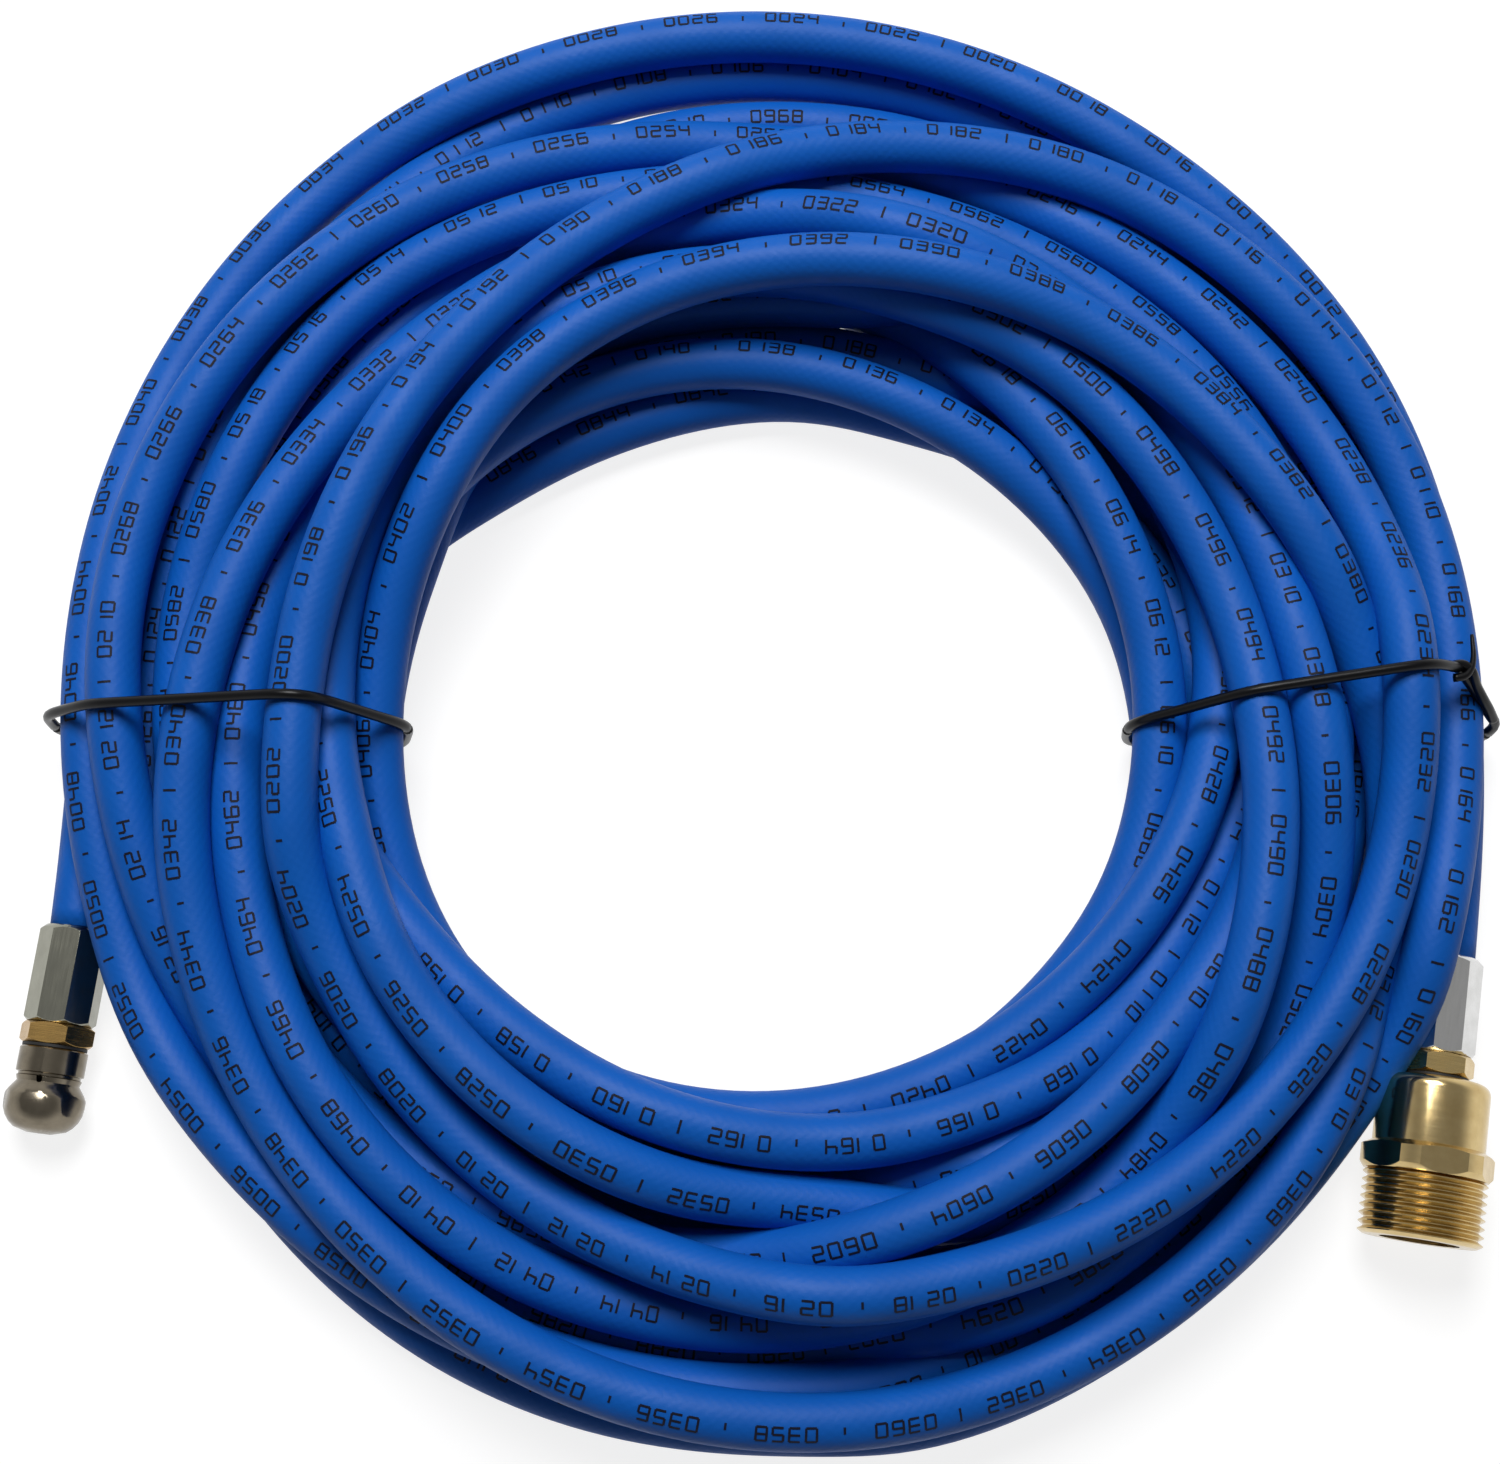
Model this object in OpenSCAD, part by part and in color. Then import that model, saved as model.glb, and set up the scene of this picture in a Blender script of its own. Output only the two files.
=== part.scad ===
// A coiled jetting hose with a crimped fitting on each end, a jet nozzle and a screw adapter.
// It lies flat, tied at two sides. +Z is up and z = 0 is the surface that it lies on.

/* [Hose] */
// Outside diameter of the jacket
hose_od = 10; // [9:0.5:11]
// Wall of the outer cover
cover_wall = 0.8; // [0.6:0.05:0.85]
// Thickness of the braid layer
braid_wall = 0.6; // [0.4:0.05:0.65]
// Wall of the inner liner
liner_wall = 0.7; // [0.5:0.05:0.75]
// Gap between one layer of the hose wall and the next
layer_gap = 0.05; // [0.02:0.01:0.08]

/* [Coil] */
// Radius of the outermost turn, to the hose's centreline
coil_r = 123; // [121:0.5:123.5]
// Step from one turn to the next
turn_pitch = 12.5; // [12:0.1:12.9]
// Free height between one layer of turns and the next
stack_gap = 0.6; // [0.5:0.05:0.8]
// Length of the coil along Y over its length along X
coil_oval = 1.12; // [1.05:0.01:1.12]
// Turns in each of the two lower layers
low_turns = 4; // [3.5:0.5:4]
// Turns in the third layer
third_turns = 3.5; // [3:0.5:3.5]
// Turns in the top layer
top_turns = 3.25; // [2.75:0.5:3.25]

/* [Crimp ferrule] */
// Size across the ferrule's eight pressed flats
ferrule_flats = 12.2; // [12:0.1:12.8]
// Length of the ferrule
ferrule_len = 18; // [16:0.5:20]
// Thickness of the ferrule's end wall, against the hose tail
ferrule_end = 1.5; // [1:0.1:2]
// Gap between the ferrule and what it grips or turns on
ferrule_gap = 0.05; // [0.02:0.01:0.08]

/* [Hose tail] */
// Size across the flats of the hose tail's hexagon
tail_flats = 12; // [11.5:0.1:12.6]
// Length of the hexagon
tail_hex_len = 4; // [3.5:0.1:5]
// Radius of the barbs' crests
barb_r = 2.6; // [2.5:0.05:2.65]
// Depth of a barb
barb_depth = 0.3; // [0.2:0.05:0.4]
// Number of barbs
barbs = 6; // [4:1:7]
// Radius of the waterway through the tail
waterway_r = 1.6; // [1.4:0.05:1.8]
// Radius of the neck that the ferrule is pressed on
neck_r = 3; // [2.9:0.05:3.2]
// Crest radius of the threaded stub
stub_r = 4.8; // [4.7:0.05:4.85]
// Length of the threaded stub
stub_len = 6.5; // [6:0.1:6.6]
// Pitch of the stub's thread
stub_pitch = 0.907; // [0.8:0.001:1]
// Gap between the stub's crests and the bore that it screws into
thread_gap = 0.08; // [0.05:0.01:0.1]

/* [Sealing rings] */
// Thickness of the nozzle's sealing ring
nozzle_seal = 0.5; // [0.4:0.1:0.6]
// Thickness of the adapter's sealing ring
adapter_seal = 0.7; // [0.5:0.1:0.9]
// Width of a sealing ring's band
seal_band = 1; // [0.8:0.1:1]

/* [Adapter] */
// Diameter of the adapter's barrel
barrel_d = 20; // [19:0.5:21]
// Length of the barrel
barrel_len = 12.2; // [11:0.1:13]
// Rounding of the barrel's shoulder
shoulder_round = 2; // [1:0.1:2.5]
// Size across the flats of the adapter's hexagon
adapter_flats = 22; // [22:0.1:22.6]
// Diameter over the hexagon's rounded corners
adapter_corners_d = 23.6; // [23.2:0.1:24]
// Length of the hexagon
adapter_hex_len = 5.2; // [4.5:0.1:6]
// Outside diameter of the inlet thread
inlet_thread_d = 22; // [21.8:0.1:22]
// Pitch of the inlet thread
inlet_pitch = 1.5; // [1.4:0.05:1.5]
// Number of thread ridges
inlet_ridges = 8; // [7:1:8]
// Radius of the socket in the inlet's mouth
socket_r = 7.05; // [6.9:0.05:7.2]
// Depth of the socket
socket_len = 10; // [9:0.5:11]

/* [Jet nozzle] */
// Diameter of the nozzle's neck
nozzle_neck_d = 12.3; // [12:0.1:12.4]
// Length of the neck
nozzle_neck_len = 6.4; // [6.2:0.1:7]
// Diameter of the nozzle's head
head_d = 14.6; // [14.4:0.1:15]
// Length of the head
head_len = 9.2; // [9:0.1:10]
// Size across the wrench flats on the head
head_flats = 13.9; // [13.8:0.1:14.2]
// Radius of a jet
jet_r = 0.55; // [0.4:0.05:0.6]
// Number of rear jets
rear_jets = 3; // [3:1:4]

/* [Wire ties] */
// Diameter of a tie over its plastic sheath
tie_od = 2.2; // [2:0.1:2.4]
// Diameter of the steel core
tie_core_d = 1.2; // [1:0.1:1.3]
// Gap between the core and the sheath
core_gap = 0.05; // [0.03:0.01:0.08]
// Gap between a tie and the hose
tie_gap = 0.3; // [0.2:0.05:0.4]
// Length of a twisted tail
tail_len = 11; // [8:1:14]

/* [Hidden] */
$fn = 64;
tiny = 0.01;
overcut = 1;

hose_blue = "#1d55b4";
core_white = "#d8d8d2";
steel = "#b9bcbe";
brass = "#c9a35a";
nickel = "#8d897c";
rubber = "#1c1c1e";

hose_r = hose_od / 2;

// The coil: its centre, the angle where it starts and how it is divided
coil_x = 8;
coil_y = 2;
start_angle = 15;
rings_per_turn = 24;
coil_sides = 6;
climb_turns = 0.5;
flat_depth = hose_od / 10;
layer_step = hose_od + stack_gap;
low_z = hose_r - flat_depth;
inner_r = coil_r - turn_pitch * low_turns;
top_inner_r = coil_r - turn_pitch * third_turns;

// The turns rise over each tie: how high, how far to each side, and how steeply
tie_rise = tie_od + tie_gap + flat_depth;
tie_half_angle = 30;
tie_steepness = 1.5;

// Turns run so far where each layer and each climb ends
layer_1_end = low_turns;
climb_1_end = layer_1_end + climb_turns;
layer_2_end = climb_1_end + low_turns;
climb_2_end = layer_2_end + climb_turns;
layer_3_end = climb_2_end + third_turns;
climb_3_end = layer_3_end + climb_turns;
coil_turns = climb_3_end + top_turns;
coil_steps = round(coil_turns * rings_per_turn);

// Where the hose ends enter their ferrules, and how each fitting is turned about Z
inlet_mouth = [coil_x + coil_r - 3.8, -53.4, adapter_flats / 2];
inlet_turn = -9.5;
nozzle_mouth = [coil_x - coil_r - 12.8, -47.4, head_flats / 2];
nozzle_turn = -7;

// Point at an angle about the coil's axis and at a height, that far out from the coil's outermost turn
function beside(angle, out, height) = [
    coil_x + (coil_r + out) * cos(angle),
    coil_y + coil_oval * (coil_r + out) * sin(angle),
    height
];

// The free stretches, chosen by hand
inlet_route = [beside(0, 1.4, 8.8), beside(-10, 2.5, 10.2)];
nozzle_route = [
    beside(119.5, -1, 36), beside(133.5, 3, 35.4), beside(147.5, 7, 29.5), beside(159.5, 9.5, 21.5),
    beside(170, 10.5, 14.2), beside(180, 10.2, 9.6), beside(188.5, 12, 7.8)
];
lead_sides = 12;

// A thread ridge over one pitch: where its crest starts and ends, and where it is down again
crest_start = 0.375;
crest_stop = 0.5;
ridge_foot = 0.875;
thread_depth = 0.61;

// Along a fitting, from the ferrule's mouth outwards
collar_s = ferrule_len;
collar_end_s = collar_s + tail_hex_len;
stub_end_s = collar_end_s + stub_len;
nozzle_s = collar_end_s + nozzle_seal;
head_s = nozzle_s + nozzle_neck_len;
nozzle_end_s = head_s + head_len;
adapter_s = collar_end_s + adapter_seal;
adapter_hex_s = adapter_s + barrel_len;
adapter_thread_s = adapter_hex_s + adapter_hex_len;
adapter_end_s = adapter_thread_s + (inlet_ridges - 1 + ridge_foot) * inlet_pitch;

// Radii inside a fitting
liner_in_r = barb_r + layer_gap;
liner_out_r = liner_in_r + liner_wall;
braid_in_r = liner_out_r + layer_gap;
braid_out_r = braid_in_r + braid_wall;
cover_in_r = braid_out_r + layer_gap;
cover_out_r = cover_in_r + cover_wall;
ferrule_in_r = cover_out_r + ferrule_gap;
hose_end_s = ferrule_len - ferrule_end - layer_gap;
female_r = stub_r + thread_gap;
bottom_gap = 0.2;
female_len = stub_len + bottom_gap;
cavity_r = 2.6;
cavity_len = 4.6;
jet_tilt = 42;
edge_clear = 0.1;
round_step = 15;

// The ties: each runs round the strands that cross the XZ plane through the coil's centre
tie_r = tie_od / 2;
wrap_r = hose_r + tie_gap + tie_r;
tie_sides = 10;
tie_step_angle = 20;

// Smooth step from 0 to 1
function ease(v) = v * v * (3 - 2 * v);

// Radial dip that turns an inward spiral into an outward one over a climb
function reversal(u) = turn_pitch * (2 * u * u - u);

// Radius of the hose's centreline after t turns
function turn_r(t) =
    t < layer_1_end ? coil_r - turn_pitch * t :
    t < climb_1_end ? inner_r + reversal(t - layer_1_end) :
    t < layer_2_end ? inner_r + turn_pitch * (t - climb_1_end) :
    t < climb_2_end ? coil_r - reversal(t - layer_2_end) :
    t < layer_3_end ? coil_r - turn_pitch * (t - climb_2_end) :
    t < climb_3_end ? top_inner_r + reversal(t - layer_3_end) :
    top_inner_r + turn_pitch * (t - climb_3_end);

// Layer that the hose lies in after t turns, counted from 0
function turn_layer(t) =
    t < layer_1_end ? 0 :
    t < climb_1_end ? ease((t - layer_1_end) / climb_turns) :
    t < layer_2_end ? 1 :
    t < climb_2_end ? 1 + ease((t - layer_2_end) / climb_turns) :
    t < layer_3_end ? 2 :
    t < climb_3_end ? 2 + ease((t - layer_3_end) / climb_turns) :
    3;

// Rise over the nearer tie at an angle about the coil's axis
function rise(angle) =
    let (off = abs((angle + 90) % 180 - 90), near = (tie_half_angle - off) / tie_half_angle)
    near <= 0 ? 0 : tie_rise * ease(min(1, near * tie_steepness));

// Centreline point of the coil after t turns
function coil_point(t) =
    let (angle = start_angle + 360 * t, r = turn_r(t))
    [
        coil_x + r * cos(angle),
        coil_y + coil_oval * r * sin(angle),
        low_z + layer_step * turn_layer(t) + rise(angle)
    ];

function unit(v) = v / norm(v);

// The coil's centreline, with each end run on straight for one hose diameter
turn_points = [for (i = [0 : coil_steps]) coil_point(i / rings_per_turn)];
start_dir = unit(turn_points[0] - turn_points[1]);
end_dir = unit(turn_points[coil_steps] - turn_points[coil_steps - 1]);
coil_start = turn_points[0] + start_dir * hose_od;
coil_end = turn_points[coil_steps] + end_dir * hose_od;
coil_path = [coil_start, each turn_points, coil_end];

// Direction out of a fitting, away from the hose
function fitting_dir(turn) = [sin(turn), -cos(turn), 0];

inlet_path = [
    coil_start,
    each inlet_route,
    inlet_mouth - hose_od * fitting_dir(inlet_turn),
    inlet_mouth
];
nozzle_path = [
    coil_end,
    each nozzle_route,
    nozzle_mouth - hose_od * fitting_dir(nozzle_turn),
    nozzle_mouth
];

// Least gap between the coil's turns, measured on its rings and halfway between them
probe_steps = coil_steps * 2;
probe = [for (i = [0 : probe_steps]) coil_point(i / (rings_per_turn * 2))];
probe_turn = rings_per_turn * 2;
probe_reach = 3;
turn_gaps = [
    for (i = [0 : probe_steps], k = [1 : ceil(coil_turns)], j = [-probe_reach : probe_reach])
        let (other = i + k * probe_turn + j)
        if (other <= probe_steps) norm(probe[i] - probe[other])
];
echo(least_gap_between_turns = min(turn_gaps) - hose_od);

// Strand centres, as [x, z], where the hose crosses the ties' plane on the side at an angle
function strands(angle, lead) = [
    [lead[0], lead[2]],
    for (k = [0 : ceil(coil_turns)])
        let (t = k + (angle - start_angle) / 360)
        if (t > 0 && t < coil_turns) let (p = coil_point(t)) [p[0], p[2]]
];

// Twice the area of the triangle a, b, c: positive where c lies to the left of the way from a to b
function left_of(a, b, c) = (b[0] - a[0]) * (c[1] - a[1]) - (b[1] - a[1]) * (c[0] - a[0]);

// The point that is farthest out from the coil's axis
function farthest_out(points) =
    let (far = max([for (q = points) abs(q[0] - coil_x)]))
    [for (q = points) if (abs(q[0] - coil_x) == far) q][0];

// The outermost of the points, anticlockwise from the first one given
function outline(points, found) =
    let (
        at = found[len(found) - 1],
        next = [for (q = points)
            if (q != at && len([for (c = points) if (left_of(at, q, c) < -tiny) 1]) == 0) q],
        far = max([for (q = next) norm(q - at)]),
        best = [for (q = next) if (norm(q - at) == far) q][0]
    )
    best == found[0] ? found : outline(points, concat(found, [best]));

// Ring of points round a path point, with its sides level; nothing goes below z = 0
function ring(p, dir, sides, r) =
    let (side = unit(cross([0, 0, 1], dir)), up = cross(dir, side))
    [for (j = [0 : sides - 1])
        let (a = 360 * j / sides, q = p + r * (cos(a) * side + sin(a) * up))
        [q[0], q[1], max(q[2], 0)]];

// Direction of a path at point i
function path_dir(path, i) =
    unit(path[min(i + 1, len(path) - 1)] - path[max(i - 1, 0)]);

// Closed tube along a path, with the given directions at its two ends
module tube_along(path, sides, first_dir, last_dir) {
    last = len(path) - 1;
    dirs = [for (i = [0 : last]) i == 0 ? first_dir : i == last ? last_dir : path_dir(path, i)];
    points = [for (i = [0 : last]) each ring(path[i], dirs[i], sides, hose_r)];
    walls = [
        for (i = [0 : last - 1], j = [0 : sides - 1])
            let (k = (j + 1) % sides, a = i * sides, b = a + sides)
            each [[a + j, b + j, b + k], [a + j, b + k, a + k]]
    ];
    first_cap = [for (j = [1 : sides - 2]) [0, j, j + 1]];
    last_cap = [for (j = [1 : sides - 2]) [last * sides, last * sides + j + 1, last * sides + j]];
    polyhedron(points = points, faces = concat(walls, first_cap, last_cap), convexity = 12);
}

module hose_coil() {
    color(hose_blue)
        tube_along(coil_path, coil_sides, -start_dir, end_dir);
}

module hose_lead_inlet() {
    color(hose_blue)
        tube_along(inlet_path, lead_sides, start_dir, fitting_dir(inlet_turn));
}

module hose_lead_nozzle() {
    color(hose_blue)
        tube_along(nozzle_path, lead_sides, end_dir, fitting_dir(nozzle_turn));
}

// Puts a fitting's piece, drawn along +Z from the ferrule's mouth, at its place
module at_mouth(mouth, turn) {
    translate(mouth)
        rotate([0, 0, turn])
            rotate([90, 0, 0])
                children();
}

module at_inlet() {
    at_mouth(inlet_mouth, inlet_turn)
        children();
}

module at_nozzle() {
    at_mouth(nozzle_mouth, nozzle_turn)
        children();
}

// Tube from s = 0 to the hose's cut end, for one layer of its wall
module wall_layer(in_r, out_r) {
    difference() {
        cylinder(h = hose_end_s, r = out_r);
        translate([0, 0, -overcut])
            cylinder(h = hose_end_s + 2 * overcut, r = in_r);
    }
}

module hose_cover_end() {
    color(hose_blue)
        wall_layer(cover_in_r, cover_out_r);
}

module hose_braid_end() {
    color(steel)
        wall_layer(braid_in_r, braid_out_r);
}

module hose_liner_end() {
    color(core_white)
        wall_layer(liner_in_r, liner_out_r);
}

// Sleeve pressed to eight flats, with an end wall that holds the hose tail's neck
module ferrule() {
    flats = 8;
    half_flat = 180 / flats;
    corner_r = ferrule_flats / 2 / cos(half_flat);
    round_r = corner_r + edge_clear;
    mouth_r = ferrule_flats / 2 - 0.5;
    end_r = ferrule_flats / 2 - 0.2;
    color(steel)
        difference() {
            intersection() {
                rotate([0, 0, half_flat])
                    cylinder(h = ferrule_len, r = corner_r, $fn = flats);
                rotate_extrude()
                    polygon([
                        [0, 0], [mouth_r, 0], [round_r, round_r - mouth_r],
                        [round_r, ferrule_len - round_r + end_r], [end_r, ferrule_len], [0, ferrule_len]
                    ]);
            }
            translate([0, 0, -overcut])
                cylinder(h = ferrule_len - ferrule_end + overcut, r = ferrule_in_r);
            cylinder(h = ferrule_len + overcut, r = neck_r + ferrule_gap);
        }
}

// Outline points of n thread ridges from z0 upwards; the step is the pitch
function ridges(root_r, crest_r, z0, step, n) = [
    for (i = [0 : n - 1]) each [
        [root_r, z0 + i * step],
        [crest_r, z0 + (i + crest_start) * step],
        [crest_r, z0 + (i + crest_stop) * step],
        [root_r, z0 + (i + ridge_foot) * step]
    ]
];

// Barbed stem, hexagon collar and threaded stub, drilled through
module hose_tail() {
    stem_s = 1.2;
    plain_end = 1.5;
    barb_step = (hose_end_s - stem_s - plain_end) / barbs;
    barb_rise = 0.85;
    barb_top = 0.99;
    corner_r = tail_flats / 2 / cos(30);
    round_r = corner_r + edge_clear;
    face_r = tail_flats / 2 - 0.25;
    bevel = (round_r - face_r) * tan(30);
    root_r = stub_r - thread_depth * stub_pitch;
    lead_in = 0.3;
    stub_ridges = floor((stub_len - 2 * lead_in) / stub_pitch);
    color(brass)
        difference() {
            union() {
                rotate_extrude()
                    polygon([
                        [0, stem_s],
                        for (i = [0 : barbs - 1]) each [
                            [barb_r - barb_depth, stem_s + i * barb_step],
                            [barb_r, stem_s + (i + barb_rise) * barb_step],
                            [barb_r, stem_s + (i + barb_top) * barb_step]
                        ],
                        [barb_r - barb_depth, stem_s + barbs * barb_step],
                        [barb_r - barb_depth, ferrule_len - ferrule_end],
                        [neck_r, ferrule_len - ferrule_end],
                        [neck_r, collar_s + tiny],
                        [0, collar_s + tiny]
                    ]);
                intersection() {
                    translate([0, 0, collar_s])
                        cylinder(h = tail_hex_len, r = corner_r, $fn = 6);
                    rotate_extrude()
                        polygon([
                            [0, collar_s], [face_r, collar_s], [round_r, collar_s + bevel],
                            [round_r, collar_end_s - bevel], [face_r, collar_end_s], [0, collar_end_s]
                        ]);
                }
                rotate_extrude()
                    polygon([
                        [0, collar_end_s - tiny],
                        [root_r, collar_end_s - tiny],
                        each ridges(root_r, stub_r, collar_end_s + lead_in, stub_pitch, stub_ridges),
                        [root_r, stub_end_s],
                        [0, stub_end_s]
                    ]);
            }
            cylinder(h = stub_end_s + overcut, r = waterway_r);
        }
}

module seal_ring(thickness) {
    color(rubber)
        translate([0, 0, collar_end_s])
            difference() {
                cylinder(h = thickness, r = female_r + seal_band);
                translate([0, 0, -overcut])
                    cylinder(h = thickness + 2 * overcut, r = female_r);
            }
}

// Barrel, hexagon and inlet thread; the hose tail screws into one end, a gun or pump into the other
module adapter() {
    barrel_r = barrel_d / 2;
    thread_r = inlet_thread_d / 2;
    root_r = thread_r - thread_depth * inlet_pitch;
    corner_r = adapter_flats / 2 / cos(30);
    bevel = 1;
    water_r = 3;
    color(brass)
        difference() {
            union() {
                rotate_extrude()
                    polygon([
                        [0, adapter_s],
                        [barrel_r - shoulder_round, adapter_s],
                        for (a = [round_step : round_step : 90 - round_step]) [
                            barrel_r - shoulder_round * (1 - sin(a)),
                            adapter_s + shoulder_round * (1 - cos(a))
                        ],
                        [barrel_r, adapter_s + shoulder_round],
                        [barrel_r, adapter_hex_s + tiny],
                        [0, adapter_hex_s + tiny]
                    ]);
                intersection() {
                    translate([0, 0, adapter_hex_s])
                        cylinder(h = adapter_hex_len, r = corner_r, $fn = 6);
                    rotate_extrude()
                        polygon([
                            [0, adapter_hex_s], [barrel_r, adapter_hex_s],
                            [adapter_corners_d / 2, adapter_hex_s + bevel],
                            [adapter_corners_d / 2, adapter_thread_s - bevel],
                            [thread_r, adapter_thread_s], [0, adapter_thread_s]
                        ]);
                }
                rotate_extrude()
                    polygon([
                        [0, adapter_thread_s - tiny],
                        [root_r, adapter_thread_s - tiny],
                        each ridges(root_r, thread_r, adapter_thread_s, inlet_pitch, inlet_ridges),
                        [0, adapter_end_s]
                    ]);
            }
            translate([0, 0, adapter_s - overcut])
                cylinder(h = female_len + overcut, r = female_r);
            translate([0, 0, adapter_end_s - socket_len])
                cylinder(h = socket_len + overcut, r = socket_r);
            cylinder(h = adapter_end_s, r = water_r);
        }
}

// Neck and rounded head, with one jet ahead and a ring of jets that point back
module nozzle() {
    neck_out_r = nozzle_neck_d / 2;
    neck_bevel = 0.4;
    head_r = head_d / 2;
    nose_r = 2.2;
    groove_r = neck_out_r - 0.5;
    groove_s = head_s - 1.5;
    groove_end_s = head_s - 1.1;
    groove_slope = 0.2;
    shoulder = 1.6;
    shoulder_bevel = 0.5;
    dome = 0.58;
    cavity_s = nozzle_s + female_len;
    jet_start_r = 1.6;
    jet_inset = 0.8;
    color(nickel)
        difference() {
            intersection() {
                rotate_extrude()
                    polygon([
                        [0, nozzle_s], [neck_out_r - neck_bevel, nozzle_s],
                        [neck_out_r, nozzle_s + neck_bevel], [neck_out_r, groove_s - groove_slope],
                        [groove_r, groove_s], [groove_r, groove_end_s],
                        [neck_out_r - groove_slope, groove_end_s + groove_slope], [groove_r, head_s],
                        [head_r - shoulder_bevel, head_s + shoulder],
                        [head_r, head_s + shoulder + 2 * shoulder_bevel],
                        for (a = [0 : round_step : 60]) [
                            nose_r + (head_r - nose_r) * cos(a),
                            nozzle_end_s - head_len * dome * (1 - sin(a))
                        ],
                        [nose_r, nozzle_end_s], [0, nozzle_end_s]
                    ]);
                cylinder(h = nozzle_end_s + overcut, r = head_flats / 2 / cos(30), $fn = 6);
            }
            translate([0, 0, nozzle_s - overcut])
                cylinder(h = female_len + overcut, r = female_r);
            translate([0, 0, cavity_s - overcut])
                cylinder(h = cavity_len + overcut, r = cavity_r);
            cylinder(h = nozzle_end_s + overcut, r = jet_r);
            for (i = [0 : rear_jets - 1])
                rotate([0, 0, 360 * i / rear_jets + 90])
                    translate([jet_start_r, 0, cavity_s + cavity_len - jet_inset])
                        rotate([0, 180 - jet_tilt, 0])
                            cylinder(h = head_d, r = jet_r);
        }
}

// Angles of the loop's rings as it turns past corner i, as seen in the XZ plane
function corner_angles(corners, i) =
    let (
        count = len(corners),
        here = corners[i],
        before = corners[(i + count - 1) % count],
        after = corners[(i + 1) % count],
        from = atan2(here[1] - before[1], here[0] - before[0]) - 90,
        to = atan2(after[1] - here[1], after[0] - here[0]) - 90,
        turn = (to - from + 720) % 360,
        steps = max(1, ceil(turn / tie_step_angle))
    )
    [for (k = [0 : steps]) from + turn * k / steps];

// Closed loop of section radius r, drawn tight round the strands with straight runs between them
module tie_loop(corners, r) {
    rings = [
        for (i = [0 : len(corners) - 1], a = corner_angles(corners, i))
            let (out = [cos(a), 0, sin(a)], mid = [corners[i][0], coil_y, corners[i][1]] + wrap_r * out)
            [for (j = [0 : tie_sides - 1])
                let (b = 360 * (j + 0.5) / tie_sides)
                mid + r * (cos(b) * out + sin(b) * [0, 1, 0])]
    ];
    count = len(rings);
    walls = [
        for (i = [0 : count - 1], j = [0 : tie_sides - 1])
            let (k = (j + 1) % tie_sides, a = i * tie_sides, b = ((i + 1) % count) * tie_sides)
            each [[a + j, b + j, b + k], [a + j, b + k, a + k]]
    ];
    polyhedron(points = [for (q = rings) each q], faces = walls, convexity = 6);
}

// The two ends of a tie's wire, which leave the loop halfway along the run that follows corner i
module tie_tails(corners, i, lean, r, extra) {
    here = corners[i];
    after = corners[i + 1];
    way = unit(after - here);
    base = (here + after) / 2 + wrap_r * [way[1], -way[0]];
    for (end = [1, -1])
        translate([base[0], coil_y, base[1]])
            rotate([-90 * end + lean, 0, 0])
                cylinder(h = tail_len + extra, r = r, $fn = tie_sides);
}

module tie_core(corners, i, lean) {
    color(steel)
        union() {
            tie_loop(corners, tie_core_d / 2);
            tie_tails(corners, i, lean, tie_core_d / 2, 0);
        }
}

module tie_sheath(corners, i, lean) {
    color(rubber)
        difference() {
            union() {
                tie_loop(corners, tie_r);
                tie_tails(corners, i, lean, tie_r, 0);
            }
            tie_loop(corners, tie_core_d / 2 + core_gap);
            tie_tails(corners, i, lean, tie_core_d / 2 + core_gap, 1);
        }
}

// Each tie's corners, the run that its tails leave from and how they lean
left_strands = strands(180, nozzle_route[5]);
right_strands = strands(360, inlet_route[0]);
left_loop = outline(left_strands, [farthest_out(left_strands)]);
right_loop = outline(right_strands, [farthest_out(right_strands)]);
left_tail_run = 1;
right_tail_run = 1;
left_lean = 0;
right_lean = 12;

hose_coil();
hose_lead_inlet();
hose_lead_nozzle();
at_inlet() hose_cover_end();  // inlet_hose_cover
at_inlet() hose_braid_end();  // inlet_hose_braid
at_inlet() hose_liner_end();  // inlet_hose_liner
at_nozzle() hose_cover_end();  // nozzle_hose_cover
at_nozzle() hose_braid_end();  // nozzle_hose_braid
at_nozzle() hose_liner_end();  // nozzle_hose_liner
at_inlet() ferrule();  // inlet_ferrule
at_nozzle() ferrule();  // nozzle_ferrule
at_inlet() hose_tail();  // inlet_hose_tail
at_nozzle() hose_tail();  // nozzle_hose_tail
at_inlet() seal_ring(adapter_seal);  // inlet_seal_ring
at_nozzle() seal_ring(nozzle_seal);  // nozzle_seal_ring
at_inlet() adapter();  // inlet_adapter
at_nozzle() nozzle();  // jet_nozzle
tie_core(left_loop, left_tail_run, left_lean);  // tie_core_left
tie_sheath(left_loop, left_tail_run, left_lean);  // tie_sheath_left
tie_core(right_loop, right_tail_run, right_lean);  // tie_core_right
tie_sheath(right_loop, right_tail_run, right_lean);  // tie_sheath_right
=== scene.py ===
"""Looks of a coiled jetting hose: its wound jacket, length marks, wire ties, fittings and setting."""

import logging
import math
from dataclasses import dataclass, field
from enum import Enum
from typing import Any

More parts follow.
